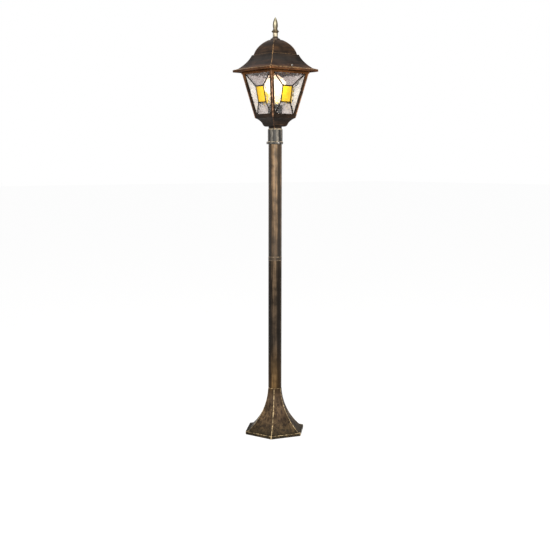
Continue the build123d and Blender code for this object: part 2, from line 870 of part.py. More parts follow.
yellow_half = yellow_width / 2
yellow_top = yellow_foot + yellow_height
pane_corners = [(-pane_half(pane_low), pane_low), (pane_half(pane_low), pane_low),
                (pane_half(pane_high), pane_high), (-pane_half(pane_high), pane_high)]
yellow_corners = [(-yellow_half, yellow_foot), (yellow_half, yellow_foot),
                  (yellow_half, yellow_top), (-yellow_half, yellow_top)]
clear_fields = []
for number in range(4):
    following = (number + 1) % 4
    clear_fields.append([pane_corners[number], pane_corners[following],
                         yellow_corners[following], yellow_corners[number]])


def field_sketch(plane, corners, shrink):
    with BuildSketch(plane) as field:
        Polygon(*corners, align=None)
        offset(amount=-shrink, kind=Kind.INTERSECTION, mode=Mode.REPLACE)
    return field.sketch


for side_name, angle in all_sides.items():
    glass_plane = side_plane(angle, glass_inset)
    came_plane = side_plane(angle, pane_inset)

    with BuildPart() as clear_glass:
        for corners in clear_fields:
            extrude(field_sketch(glass_plane, corners, came_heart / 2), amount=-glass_thickness)
    write(clear_glass, f"clear_glass_{side_name}")

    with BuildPart() as yellow_glass:
        extrude(field_sketch(glass_plane, yellow_corners, came_heart / 2), amount=-glass_thickness)
    write(yellow_glass, f"yellow_glass_{side_name}")

    with BuildPart() as leading:
        with BuildSketch(came_plane):
            Polygon(*pane_corners, align=None)
        extrude(amount=-came_thickness)
        for corners in clear_fields + [yellow_corners]:
            extrude(field_sketch(came_plane, corners, came_width / 2), amount=-came_thickness,
                    mode=Mode.SUBTRACT)
        add(clear_glass.part, mode=Mode.SUBTRACT)
        add(yellow_glass.part, mode=Mode.SUBTRACT)
    write(leading, f"leading_{side_name}")

# Glass clips: bent strips on the top rail that press the panes outwards, and their screws
pane_back = (frame_wall + came_thickness) / slope + seat_gap
clip_bend = window_top + pane_overlap + clip_lift
clip_end = clip_bend - clip_reach
clip_top = frame_top - clip_drop

with BuildSketch() as clip_outline:
    with BuildLine():
        Polyline((rail_inner, clip_top), (rail_inner, clip_bend),
                 (half_at(clip_bend) - pane_back, clip_bend),
                 (half_at(clip_end) - pane_back, clip_end),
                 (half_at(clip_end) - pane_back - clip_thickness, clip_end),
                 (half_at(clip_bend) - pane_back - clip_thickness, clip_bend + clip_thickness),
                 (rail_inner - clip_thickness, clip_bend + clip_thickness),
                 (rail_inner - clip_thickness, clip_top), close=True)
    make_face()

with BuildPart() as glass_clips:
    for angle in all_sides.values():
        for side in (1, -1):
            with BuildSketch(section_plane(angle, side * clip_place - clip_width / 2)):
                add(clip_outline.sketch)
            extrude(amount=clip_width)
            drill(clip_screw_seat(angle, -side, rail_half), small_shank + slip_gap, 2 * rail_wall)
write(glass_clips, "glass_clips")

with BuildPart() as clip_screws:
    for angle in all_sides.values():
        for side in (1, -1):
            seat = clip_screw_seat(angle, side, rail_inner - clip_thickness)
            add_screw(Plane(origin=seat.origin, z_dir=-seat.z_dir), small_shank,
                      clip_thickness + rail_wall, small_head, small_head_height)
write(clip_screws, "clip_screws")

# Roof: a thin shell with a dome, a step, a hollow flare, a shoulder and an upright fascia
with BuildSketch() as roof_outline:
    with BuildLine():
        Polyline((0, eave_foot), (eave_half, eave_foot), (eave_half, fascia_top),
                 (shoulder_half, shoulder_top))
        SagittaArc((shoulder_half, shoulder_top), (step_half, step_level), flare_curve)
        Line((step_half, step_level), (dome_half, step_level))
        SagittaArc((dome_half, step_level), (crown_half, crown_level), -dome_curve)
        Polyline((crown_half, crown_level), (0, crown_level), (0, eave_foot))
    make_face()
    mirror(about=Plane.YZ)

with BuildSketch() as roof_cavity_outline:
    add(roof_outline.sketch)
    offset(amount=-roof_wall, kind=Kind.INTERSECTION, mode=Mode.REPLACE)
    with Locations((0, eave_foot)):
        Rectangle(2 * (eave_half - roof_wall), 3 * roof_wall)

roof_form = flat_sided(roof_outline.sketch, lantern_side_angles, 2 * eave_half)

with BuildPart() as roof_cavity:
    add(flat_sided(roof_cavity_outline.sketch, lantern_side_angles, 2 * eave_half))
    for angle in all_sides.values():
        for side in (1, -1):
            low_corner = rail_half - seat_rib_inset
            place = (direction(angle) * (low_corner + eave_half) / 2
                     + direction(angle + 90) * side * seat_rib_place + Vector(0, 0, frame_top))
            with BuildSketch(Plane(origin=place, x_dir=direction(angle), z_dir=(0, 0, 1))):
                Rectangle(eave_half - low_corner, seat_rib_width)
            extrude(amount=seat_rib_height, mode=Mode.SUBTRACT)


def roof_screw_seat(side, distance):
    # Upright plane across a roof screw's axis, facing outwards
    return Plane(origin=(side * distance, 0, roof_screw_level), z_dir=(side, 0, 0))


with BuildPart() as roof_hull:
    add(roof_form)
    add(roof_cavity.part, mode=Mode.SUBTRACT)
    for side in (1, -1):
        with BuildSketch(roof_screw_seat(side, boss_face)):
            Circle(boss_outer)
        extrude(amount=-boss_length)
        drill(roof_screw_seat(side, boss_face), roof_screw_shank + thread_gap, boss_face - lug_face)
        drill(roof_screw_seat(side, eave_half), roof_screw_head + seat_gap, eave_half - boss_face)
    drill(Plane.XY.offset(crown_level), finial_stud + slip_gap, roof_wall)

# The skirt and the dome each have four sides, mitred and welded along the hips
crown_inside = crown_level - roof_wall


def hip_corners(angle):
    # Plan of one side of the roof, from the axis out past the two hips
    apex = direction(angle) * (mitre_gap / sqrt(2))
    return [apex, apex + direction(angle - 45) * 2 * eave_half,
            apex + direction(angle + 45) * 2 * eave_half]


def roof_plate(corners, low, high):
    # The roof's wall inside an upright prism
    with BuildPart() as plate:
        with BuildSketch(Plane.XY.offset(low)):
            Polygon(*corners, align=None)
        extrude(amount=high - low)
        add(roof_hull.part, mode=Mode.INTERSECT)
    return plate.part


with BuildPart() as roof_skirt:
    for angle in all_sides.values():
        add(roof_plate(hip_corners(angle), eave_foot, step_level))
write(roof_skirt, "roof_skirt")

crown_corners = [direction(angle + 45) * eave_half for angle in all_sides.values()]
with BuildPart() as roof_dome:
    for angle in all_sides.values():
        add(roof_plate(hip_corners(angle), step_level, crown_inside - mitre_gap))
    add(roof_plate(crown_corners, crown_inside, crown_level))
write(roof_dome, "roof_dome")

for side_name, side in (("right", 1), ("left", -1)):
    with BuildPart() as roof_screw_seal:
        with BuildSketch(roof_screw_seat(side, boss_face)):
            Circle(seal_radius)
            Circle(roof_screw_shank + slip_gap, mode=Mode.SUBTRACT)
        extrude(amount=seal_thickness)
    write(roof_screw_seal, f"roof_screw_seal_{side_name}")

    with BuildPart() as roof_screw:
        add_screw(roof_screw_seat(side, boss_face + seal_thickness), roof_screw_shank,
                  boss_face + seal_thickness - lug_face - seat_gap, roof_screw_head,
                  roof_screw_head_height)
    write(roof_screw, f"roof_screw_{side_name}")

# Finial: turned foot, neck, ring and spear, with a stud, washer and nut inside the roof
ring_level = crown_level + finial_ring_height
ring_half = finial_ring_width / 2
ring_root = finial_neck + finial_ring_flare
waist_level = crown_level + finial_waist_height
spear_level = crown_level + finial_spear_height
with BuildPart() as finial:
    with BuildSketch(Plane.XZ):
        with BuildLine():
            Polyline((0, crown_level - finial_stud_length),
                     (finial_stud, crown_level - finial_stud_length),
                     (finial_stud, crown_level), (finial_foot, crown_level),
                     (finial_foot, crown_level + finial_foot_edge))
            SagittaArc((finial_foot, crown_level + finial_foot_edge),
                       (finial_neck, crown_level + finial_foot_height), finial_foot_curve)
            Polyline((finial_neck, crown_level + finial_foot_height),
                     (finial_neck, ring_level - 1.4 * ring_half), (ring_root, ring_level - ring_half))
            ThreePointArc((ring_root, ring_level - ring_half), (finial_ring, ring_level),
                          (ring_root, ring_level + ring_half))
            SagittaArc((ring_root, ring_level + ring_half), (finial_waist, waist_level),
                       finial_waist_curve)
            SagittaArc((finial_waist, waist_level), (finial_spear, spear_level),
                       -finial_waist_curve)
            SagittaArc((finial_spear, spear_level), (finial_tip, lantern_top),
                       -finial_spear_curve)
            Polyline((finial_tip, lantern_top), (0, lantern_top),
                     (0, crown_level - finial_stud_length))
        make_face()
    revolve(axis=Axis.Z)
write(finial, "finial")

with BuildPart() as finial_washer_plate:
    turned_ring(finial_stud + slip_gap, finial_washer, crown_inside - washer_thickness,
                crown_inside)
write(finial_washer_plate, "finial_washer")

with BuildPart() as finial_nut:
    add_nut(Plane.XY.offset(crown_inside - washer_thickness - finial_nut_height),
            finial_nut_flats, finial_stud + thread_gap, finial_nut_height)
write(finial_nut, "finial_nut")

# Lampholder: domed cap on the nipple, shell, ceramic insert, thread sleeve and centre contact
cap_entry_top = holder_foot + holder_entry_height
cap_shoulder = holder_shell_foot - holder_cap_side
cap_seat = holder_radius - 2 * holder_wall
with BuildPart() as holder_cap:
    with BuildSketch(Plane.XZ):
        with BuildLine():
            Polyline((cap_seat, holder_shell_foot), (cap_seat, cap_shoulder))
            SagittaArc((cap_seat, cap_shoulder),
                       (holder_entry_radius - holder_wall / 2, cap_entry_top + holder_wall),
                       holder_cap_curve)
            Polyline((holder_entry_radius - holder_wall / 2, cap_entry_top + holder_wall),
                     (nipple_radius + thread_gap, cap_entry_top + holder_wall),
                     (nipple_radius + thread_gap, holder_foot), (holder_entry_radius, holder_foot),
                     (holder_entry_radius, cap_entry_top))
            SagittaArc((holder_entry_radius, cap_entry_top), (holder_radius, cap_shoulder),
                       -holder_cap_curve)
            Polyline((holder_radius, cap_shoulder), (holder_radius, holder_shell_foot),
                     (cap_seat, holder_shell_foot))
        make_face()
    revolve(axis=Axis.Z)
write(holder_cap, "holder_cap")

shell_bore = holder_radius - holder_wall
shell_top = holder_shell_foot + holder_shell_height
with BuildPart() as holder_shell:
    turned_ring(shell_bore, holder_radius, holder_shell_foot, shell_top - holder_lip_height)
    turned_ring(shell_bore, holder_radius + holder_lip, shell_top - holder_lip_height, shell_top)
write(holder_shell, "holder_shell")

with BuildPart() as holder_insert:
    turned_ring(0, shell_bore - slip_gap, holder_shell_foot, insert_top)
    with BuildSketch(Plane.XY.offset(holder_shell_foot)):
        with GridLocations(2 * wire_place, 0, 2, 1):
            Circle(wire_radius + slip_gap)
    extrude(amount=wire_socket, mode=Mode.SUBTRACT)
write(holder_insert, "holder_insert")

with BuildPart() as thread_sleeve:
    turned([(sleeve_radius - sleeve_flange, insert_top), (sleeve_radius + sleeve_wall, insert_top),
            (sleeve_radius + sleeve_wall, insert_top + sleeve_height),
            (sleeve_radius, insert_top + sleeve_height), (sleeve_radius, insert_top + sleeve_wall),
            (sleeve_radius - sleeve_flange, insert_top + sleeve_wall)])
write(thread_sleeve, "thread_sleeve")

contact_top = insert_top + contact_rise + contact_thickness
with BuildPart() as centre_contact:
    with BuildSketch(section_plane(0, -contact_width / 2)):
        with BuildLine():
            Polyline((-contact_reach, insert_top), (-contact_knee, insert_top),
                     (-tip_radius / 2, contact_top - contact_thickness),
                     (tip_radius / 2, contact_top - contact_thickness),
                     (tip_radius / 2, contact_top), (-tip_radius / 2, contact_top),
                     (-contact_knee, insert_top + contact_thickness),
                     (-contact_reach, insert_top + contact_thickness), close=True)
        make_face()
    extrude(amount=contact_width)
write(centre_contact, "centre_contact")

# Two insulated wires from the cable's end to the insert
wire_top = holder_shell_foot + wire_socket
wire_start = 0.5 * cable_radius
wire_knee = cable_top + 0.6 * (holder_shell_foot - cable_top)
with BuildPart() as holder_wires:
    for side in (1, -1):
        with BuildLine() as wire_route:
            FilletPolyline((side * wire_start, 0, cable_top), (side * wire_start, 0, cable_top + 2),
                           (side * wire_place, 0, wire_knee), (side * wire_place, 0, wire_top),
                           radius=1.2)
        with BuildSketch(Plane.XY.offset(cable_top)):
            with Locations((side * wire_start, 0)):
                Circle(wire_radius)
        sweep(path=wire_route.wire())
write(holder_wires, "holder_wires")

# Bulb: metal cap with thread ridges, insulator and tip, pear-shaped envelope, stem, filaments
ridge_root = cap_radius - thread_depth
thread_top = cap_foot + thread_turns * thread_pitch
ridge_points = [(ridge_root, cap_foot)]
for turn in range(thread_turns):
    ridge_points.append((cap_radius, cap_foot + (turn + 0.5) * thread_pitch))
    ridge_points.append((ridge_root, cap_foot + (turn + 1) * thread_pitch))
ridge_points.append((cap_radius, thread_top + thread_pitch / 2))
ridge_points.append((cap_radius, cap_top))
inner_points = [(radius - cap_thickness, level) for radius, level in reversed(ridge_points)]
with BuildPart() as bulb_cap:
    turned(ridge_points + inner_points)
write(bulb_cap, "bulb_cap")

plug_radius = ridge_root - cap_thickness - thread_gap
with BuildPart() as bulb_insulator:
    turned([(0, bulb_foot + tip_height), (tip_radius + 1, bulb_foot + tip_height),
            (ridge_root, cap_foot), (plug_radius, cap_foot), (plug_radius, cap_foot + thread_depth),
            (0, cap_foot + thread_depth)])
write(bulb_insulator, "bulb_insulator")

with BuildPart() as bulb_tip_contact:
    with BuildSketch(Plane.XY.offset(bulb_foot + tip_height)):
        Circle(tip_radius)
    extrude(amount=-tip_height, taper=30)
write(bulb_tip_contact, "bulb_tip_contact")

neck_radius = cap_radius - cap_thickness - slip_gap
neck_top = cap_top + neck_rise
envelope_foot = cap_top - neck_overlap
ball_level = bulb_top - bulb_radius
ball_rise = ball_level - neck_top
blend_radius = ((neck_radius ** 2 + ball_rise ** 2 - bulb_radius ** 2)
                / (2 * (bulb_radius - neck_radius)))
blend_middle = (neck_radius + blend_radius, neck_top)
join_angle = atan2(ball_rise, blend_middle[0])


def envelope_skin(inset):
    # Edge of the envelope's profile from the neck's foot up to the crown, set in by a distance
    ball = bulb_radius - inset
    blend = blend_radius + inset
    join = (ball * cos(join_angle), ball_level - ball * sin(join_angle))
    half_blend = join_angle / 2
    half_ball = (pi / 2 - join_angle) / 2
    Line((neck_radius - inset, envelope_foot), (neck_radius - inset, neck_top))
    ThreePointArc((neck_radius - inset, neck_top),
                  (blend_middle[0] - blend * cos(half_blend), neck_top + blend * sin(half_blend)),
                  join)
    ThreePointArc(join, (ball * cos(half_ball), ball_level + ball * sin(half_ball)),
                  (0, ball_level + ball))


with BuildPart() as bulb_glass:
    with BuildSketch(Plane.XZ):
        with BuildLine():
            envelope_skin(0)
            envelope_skin(envelope_wall)
            Line((neck_radius, envelope_foot), (neck_radius - envelope_wall, envelope_foot))
            Line((0, bulb_top), (0, bulb_top - envelope_wall))
        make_face()
    revolve(axis=Axis.Z)
write(bulb_glass, "bulb_glass")

stem_top = envelope_foot + stem_height
stem_foot_radius = neck_radius - envelope_wall - thread_gap
with BuildPart() as bulb_stem:
    turned([(0, envelope_foot), (stem_foot_radius, envelope_foot),
            (stem_foot_radius, envelope_foot + stem_foot_height),
            (stem_radius, envelope_foot + 3 * stem_foot_height), (stem_radius, stem_top), (0, stem_top)])
write(bulb_stem, "bulb_stem")

# Four filament sticks held by thin arms: the low ones on the stem's side, the high ones on its top
filament_low = stem_top - filament_drop
filament_high = filament_low + filament_length
with BuildPart() as bulb_filaments:
    with BuildSketch(Plane.XY.offset(filament_low)):
        with PolarLocations(filament_circle, filament_count):
            Circle(filament_radius)
    extrude(amount=filament_length)
    for number in range(filament_count):
        outwards = direction(number * 360 / filament_count)
        low = outwards * (stem_radius + thread_gap) + Vector(0, 0, filament_low + 2 * filament_radius)
        with BuildSketch(Plane(origin=low, z_dir=outwards)):
            Circle(filament_arm)
        extrude(amount=filament_circle - stem_radius)
        high = Vector(0, 0, filament_high - 2 * filament_radius)
        with BuildSketch(Plane(origin=high, z_dir=outwards)):
            Circle(filament_arm)
        extrude(amount=filament_circle)
    with BuildSketch(Plane.XY.offset(stem_top + thread_gap)):
        Circle(filament_radius)
    extrude(amount=filament_high - filament_radius - stem_top)
write(bulb_filaments, "bulb_filaments")
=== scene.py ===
import bpy
import bmesh
import json
from math import atan, atan2, cos, pi, radians, sin, sqrt, tan
from mathutils import Matrix, Vector


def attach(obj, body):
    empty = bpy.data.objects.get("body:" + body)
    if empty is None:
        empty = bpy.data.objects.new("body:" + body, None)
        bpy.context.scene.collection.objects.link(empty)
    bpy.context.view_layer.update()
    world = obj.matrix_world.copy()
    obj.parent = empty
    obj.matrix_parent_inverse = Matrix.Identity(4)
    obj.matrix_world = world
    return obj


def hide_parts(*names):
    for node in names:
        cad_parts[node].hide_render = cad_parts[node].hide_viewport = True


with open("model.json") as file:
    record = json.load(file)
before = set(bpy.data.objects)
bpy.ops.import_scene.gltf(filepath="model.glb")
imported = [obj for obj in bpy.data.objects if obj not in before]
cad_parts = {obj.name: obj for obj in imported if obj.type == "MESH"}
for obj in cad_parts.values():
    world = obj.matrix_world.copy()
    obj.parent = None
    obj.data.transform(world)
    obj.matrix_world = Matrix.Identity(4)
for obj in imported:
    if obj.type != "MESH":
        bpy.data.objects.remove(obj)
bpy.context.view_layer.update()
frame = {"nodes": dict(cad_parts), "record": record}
nodes = frame["nodes"]
print("frame loaded:", len(nodes), "CAD nodes")

bodyOfNode = {name: body for body, names in frame["record"]["behaviour"]["bodies"].items()
              for name in names}
mm = 0.001
mergeDistance = 0.000002


def sceneObject(name, data):
    item = bpy.data.objects.new(name, data)
    bpy.context.scene.collection.objects.link(item)
    return item


# camera at the photograph's viewing angle: standing distance, height and downward tilt
cameraSettings = {"azimuth": 51.5, "distance": 2.787, "height": 0.7887, "tilt": 6.60,
                  "roll": 0.08, "lens": 62.97, "sensor": 36.0}


def standingSpot(settings):
    turn = radians(settings["azimuth"])
    return Vector((sin(turn) * settings["distance"], -cos(turn) * settings["distance"],
                   settings["height"]))


def makeCamera(settings):
    data = bpy.data.cameras.new("photoCamera")
    data.lens = settings["lens"]
    data.sensor_width = settings["sensor"]
    camera = sceneObject("photoCamera", data)
    camera.location = standingSpot(settings)
    pose = Matrix.Rotation(radians(settings["azimuth"]), 3, "Z")
    pose = pose @ Matrix.Rotation(radians(90 - settings["tilt"]), 3, "X")
    camera.rotation_euler = (pose @ Matrix.Rotation(radians(settings["roll"]), 3, "Z")).to_euler()
    bpy.context.scene.camera = camera


makeCamera(cameraSettings)
bpy.context.scene.view_settings.view_transform = "Standard"


def linear(red, green, blue):
    # a colour written in screen values, 0 to 255, as Blender's scene values
    def channel(value):
        value /= 255
        return value / 12.92 if value <= 0.04045 else ((value + 0.055) / 1.055) ** 2.4
    return (channel(red), channel(green), channel(blue), 1.0)


# node trees: an output is held as a Wire, and arithmetic on it adds the nodes that do it


class Wire:
    def __init__(self, socket):
        self.socket, self.tree = socket, socket.id_data

    def math(self, operation, *others, clamp=False):
        return wire(self.tree, "ShaderNodeMath", dict(enumerate((self, *others))),
                    operation=operation, use_clamp=clamp)

    def vector(self, operation, other):
        node = addNode(self.tree, "ShaderNodeVectorMath", {0: self, 1: other}, operation=operation)
        return Wire(node.outputs["Value" if operation == "DOT_PRODUCT" else 0])

    def scaled(self, factor):
        return wire(self.tree, "ShaderNodeVectorMath", {0: self, 3: factor}, operation="SCALE")

    def __add__(self, other):
        return self.math("ADD", other)

    def __sub__(self, other):
        return self.math("SUBTRACT", other)

    def __rsub__(self, other):
        return wire(self.tree, "ShaderNodeMath", {0: other, 1: self}, operation="SUBTRACT")

    def __mul__(self, other):
        return self.math("MULTIPLY", other)

    def __truediv__(self, other):
        return self.math("DIVIDE", other)

    def __rtruediv__(self, other):
        return wire(self.tree, "ShaderNodeMath", {0: other, 1: self}, operation="DIVIDE")


def addNode(tree, kind, inputs=None, **settings):
    node = tree.nodes.new(kind)
    for key, value in settings.items():
        setattr(node, key, value)
    for key, value in (inputs or {}).items():
        if isinstance(value, Wire):
            tree.links.new(value.socket, node.inputs[key])
        else:
            node.inputs[key].default_value = value
    return node


def wire(tree, kind, inputs=None, **settings):
    return Wire(addNode(tree, kind, inputs, **settings).outputs[0])


def link(values, inputs):
    for label, value in values.items():
        value.tree.links.new(value.socket, inputs[label])


def newTree(name, kind, inputs, outputs):
    # an input is given by its default value, or by its socket type when it has no default
    tree = bpy.data.node_groups.new(name, kind)
    for label, value in inputs.items():
        if isinstance(value, str):
            tree.interface.new_socket(label, in_out="INPUT", socket_type="NodeSocket" + value)
            continue
        kinds = {int: "Int", float: "Float", tuple: "Vector"}
        kind = "Color" if type(value) is tuple and len(value) == 4 else kinds[type(value)]
        socket = tree.interface.new_socket(label, in_out="INPUT", socket_type="NodeSocket" + kind)
        socket.default_value = value
    for label, kind in outputs.items():
        tree.interface.new_socket(label, in_out="OUTPUT", socket_type="NodeSocket" + kind)
    entry = tree.nodes.new("NodeGroupInput")
    leave = tree.nodes.new("NodeGroupOutput")
    source = {socket.name: Wire(socket) for socket in entry.outputs if socket.name}
    return tree, source, leave.inputs


def objectSpot(tree):
    return Wire(addNode(tree, "ShaderNodeTexCoord").outputs["Object"])


def split(spot):
    return [Wire(output) for output in
            addNode(spot.tree, "ShaderNodeSeparateXYZ", {0: spot}).outputs]


def noise(spot, scale, detail, more=None):
    return wire(spot.tree, "ShaderNodeTexNoise",
                {"Vector": spot, "Scale": scale, "Detail": detail, **(more or {})})


def blend(share, first, second):
    node = addNode(share.tree, "ShaderNodeMix", {0: share, 6: first, 7: second}, data_type="RGBA")
    return Wire(node.outputs[2])


def remap(value, low, high, newLow=0.0, newHigh=1.0, smooth=False):
    return wire(value.tree, "ShaderNodeMapRange",
                {0: value, 1: low, 2: high, 3: newLow, 4: newHigh},
                interpolation_type="SMOOTHSTEP" if smooth else "LINEAR")


def fade(value, low, high):
    # 1 below the low value, 0 above the high one
    return remap(value, low, high, 1.0, 0.0, smooth=True)


# shader groups shared by the materials
surfaceOutputs = {"Color": "Color", "Roughness": "Float", "Height": "Float"}


def makeWornPaintAndHighlights():
    # dark paint of two shades, a lighter layer rubbed on in streaks, bare lines on the edges; on
    # turned pieces the lighter layer and some of the lines are painted highlights
    tree, source, result = newTree("wornPaint", "ShaderNodeTree", {
        "Dark": (0.02, 0.017, 0.014, 1), "Second Dark": (0.03, 0.03, 0.03, 1),
        "Rubbed": (0.3, 0.2, 0.1, 1), "Bare": (0.8, 0.6, 0.35, 1), "Stretch": (500, 500, 12),
        "Rub Share": 0.4, "Lines": 0.0, "Polish": 0.5, "Grain": 0.5}, surfaceOutputs)
    spot = objectSpot(tree)
    streakSpot = spot.vector("MULTIPLY", source["Stretch"])
    broad = noise(streakSpot, 0.35, 5.0, {"Roughness": 0.62})
    fine = noise(streakSpot, 1.9, 3.0, {"Roughness": 0.6})
    blotch, shade, speck = noise(spot, 34.0, 3.0), noise(spot, 17.0, 2.0), noise(spot, 900.0, 2.0)
    streak = remap(broad * 0.6 + fine * 0.4, 0.4, 0.62)
    patches = remap(blotch, 0.34, 0.66, 0.3, 1.35)
    rubAndHighlight = (streak * patches).math("MULTIPLY", source["Rub Share"], clamp=True)
    dark = blend(remap(shade, 0.42, 0.58), source["Dark"], source["Second Dark"])
    chips = remap(noise(spot, 150.0, 3.0), 0.4, 0.58, 0.1, 1.0)
    lines = chips.math("MULTIPLY", source["Lines"], clamp=True)
    bare = source["Bare"].vector("MULTIPLY", remap(blotch, 0.36, 0.64, 0.62, 1.1))
    colour = blend(lines, blend(rubAndHighlight, dark, source["Rubbed"]), bare)
    dust = remap(speck, 0.35, 0.75, 0.84, 1.14)
    smoothest = 0.42 - source["Polish"] * 0.24
    link({"Color": colour.vector("MULTIPLY", dust),
          "Roughness": remap(rubAndHighlight.math("MAXIMUM", lines), 0.0, 1.0, 0.44, smoothest),
          "Height": fine * source["Grain"] + speck * 0.25}, result)
    return tree


def makeHipLine():
    # a line along the corners of a straight-sided body round the Z axis
    tree, source, result = newTree("hipLine", "ShaderNodeTree", {
        "Sector": pi / 2, "First": pi / 4, "Width": 0.002}, {"Mask": "Float"})
    x, y = split(objectSpot(tree))[:2]
    half = source["Sector"] * 0.5
    angle = (y.math("ARCTAN2", x) - source["First"]).math("WRAP", half, half * -1.0)
    reach = (x * x + y * y).math("SQRT")
    away = (reach * angle.math("SINE")).math("ABSOLUTE")
    link({"Mask": fade(away, source["Width"] * 0.45, source["Width"])}, result)
    return tree


def makeLevelLine():
    # a line round the body at a level
    tree, source, result = newTree("levelLine", "ShaderNodeTree", {
        "Level": 1.0, "Width": 0.002}, {"Mask": "Float"})
    away = (split(objectSpot(tree))[2] - source["Level"]).math("ABSOLUTE")
    link({"Mask": fade(away, source["Width"] * 0.5, source["Width"])}, result)
    return tree


def makeHighlightBands():
    # painted highlight: broad upright bands, evenly spaced round a turned piece, where the lighter
    # layer shows as the reflections of upright lamps
    tree, source, result = newTree("brushedBands", "ShaderNodeTree", {
        "Bands": 4.0, "Centre": 0.0, "Low": -0.5, "High": 0.3}, {"Mask": "Float"})
    spot = objectSpot(tree)
    x, y = split(spot)[:2]
    angle = y.math("ARCTAN2", x) - source["Centre"]
    wobble = noise(spot.vector("MULTIPLY", (60.0, 60.0, 14.0)), 1.0, 2.0)
    wave = (angle * source["Bands"]).math("COSINE") + remap(wobble, 0.3, 0.7, -0.25, 0.25)
    link({"Mask": remap(wave, source["Low"], source["High"], smooth=True)}, result)
    return tree


def makeTintByHeight():
    # a colour that runs through four stops between the foot and the top of a pole
    tree, source, result = newTree("tintByHeight", "ShaderNodeTree", {
        "Low": 0.0, "High": 1.0, "Foot": "Color", "Middle": "Color", "Upper": "Color",
        "Top": "Color"}, {"Color": "Color"})
    share = remap(split(objectSpot(tree))[2], source["Low"], source["High"])
    colour = source["Foot"]
    for label, low, high in (("Middle", 0.0, 0.36), ("Upper", 0.36, 0.7), ("Top", 0.7, 1.0)):
        colour = blend(remap(share, low, high), colour, source[label])
    link({"Color": colour}, result)
    return tree


def makeSmallMetal():
    # turning marks, dull spots and a lighter edge for screws, nuts, plates and springs
    tree, source, result = newTree("smallMetal", "ShaderNodeTree", {
        "Clean": (0.6, 0.6, 0.6, 1), "Dull": (0.25, 0.24, 0.22, 1), "Dullness": 0.4,
        "Polish": 0.6}, surfaceOutputs)
    spot = objectSpot(tree)
    rounded = wire(tree, "ShaderNodeBevel", {"Radius": 0.0005}, samples=4)
    flat = Wire(addNode(tree, "ShaderNodeNewGeometry").outputs["Normal"])
    edge = remap(1.0 - rounded.vector("DOT_PRODUCT", flat), 0.01, 0.2)
    dull = remap(noise(spot, 260.0, 4.0), 0.35, 0.7) * source["Dullness"]
    dull = dull.math("SUBTRACT", edge * 0.4, clamp=True)
    link({"Color": blend(dull, source["Clean"], source["Dull"]),
          "Roughness": 0.62 - source["Polish"] * 0.45 + dull * 0.25,
          "Height": noise(spot, 2400.0, 2.0)}, result)
    return tree


def makeMoulded():
    # fine moulded grain with faint dust for plastic, rubber and ceramic
    tree, source, result = newTree("mouldedGrain", "ShaderNodeTree", {
        "Base": (0.02, 0.02, 0.02, 1), "Dust": (0.2, 0.19, 0.17, 1), "Dust Share": 0.15,
        "Gloss": 0.5}, surfaceOutputs)
    spot = objectSpot(tree)
    dust = remap(noise(spot, 90.0, 5.0), 0.45, 0.75) * source["Dust Share"]
    link({"Color": blend(dust, source["Base"], source["Dust"]),
          "Roughness": 0.75 - source["Gloss"] * 0.6 + dust * 0.6,
          "Height": noise(spot, 1800.0, 2.0)}, result)
    return tree


def makeGlassSurface():
    # slow waves and greyer fields of poured glass, with painted shade along the wrinkles where
    # refraction darkens them
    tree, source, result = newTree("pouredGlass", "ShaderNodeTree", {
        "Clear": (1, 1, 1, 1), "Grey": (0.6, 0.55, 0.52, 1), "Wrinkle": (0.3, 0.25, 0.2, 1),
        "Wave Size": 120.0, "Wrinkle Share": 0.6, "Tone": 0.0},
        {"Color": "Color", "Height": "Float"})
    spot, waveSize = objectSpot(tree), source["Wave Size"]
    broad = noise(spot, 40.0, 2.0, {"Distortion": 0.8})
    wave = noise(spot, waveSize, 2.0, {"Distortion": 1.6})
    small = noise(spot, waveSize * 2.1, 1.0, {"Distortion": 1.2})
    large = fade((wave - 0.5).math("ABSOLUTE"), 0.004, 0.034)
    wrinkle = large.math("MAXIMUM", fade((small - 0.53).math("ABSOLUTE"), 0.0, 0.05) * 0.6)
    where = remap(broad, 0.36, 0.6, 0.25, 1.0)
    tone = source["Tone"] * remap(broad, 0.35, 0.65, 0.6, 1.0)
    tone = tone.math("ADD", where * 0.12, clamp=True)
    colour = blend(tone, source["Clear"], source["Grey"])
    # dark lines along the wrinkles: painted refraction shade
    link({"Color": blend(wrinkle * where * source["Wrinkle Share"], colour, source["Wrinkle"]),
          "Height": wave}, result)
    return tree


hipLine, levelLine, brushedBands = makeHipLine(), makeLevelLine(), makeHighlightBands()
wornPaint, tintByHeight, smallMetal = makeWornPaintAndHighlights(), makeTintByHeight(), makeSmallMetal()
mouldedGrain, pouredGlass = makeMoulded(), makeGlassSurface()
print("shader groups made")


def startMaterial(name, sockets):
    material = bpy.data.materials.new(name)
    material.use_nodes = True
    tree = material.node_tree
    shader = tree.nodes["Principled BSDF"]
    for label, value in sockets.items():
        shader.inputs[label].default_value = value
    return material, tree, shader


def placeGroup(tree, group, values):
    node = addNode(tree, "ShaderNodeGroup", values, node_tree=group)
    return {output.name: Wire(output) for output in node.outputs}


def dress(shader, surface, bump, distance):
    # a surface's colour, roughness and bump on the shader
    normal = wire(shader.id_data, "ShaderNodeBump", {"Height": surface["Height"],
                                                     "Strength": bump, "Distance": distance})
    link({"Base Color": surface["Color"], "Normal": normal}, shader.inputs)
    if "Roughness" in surface:
        link({"Roughness": surface["Roughness"]}, shader.inputs)


paintInputs = {"Dark": "dark", "Second Dark": "secondDark", "Rubbed": "rubbed", "Bare": "bare",
               "Stretch": "stretch", "Rub Share": "rubShare", "Grain": "grain", "Polish": "polish"}


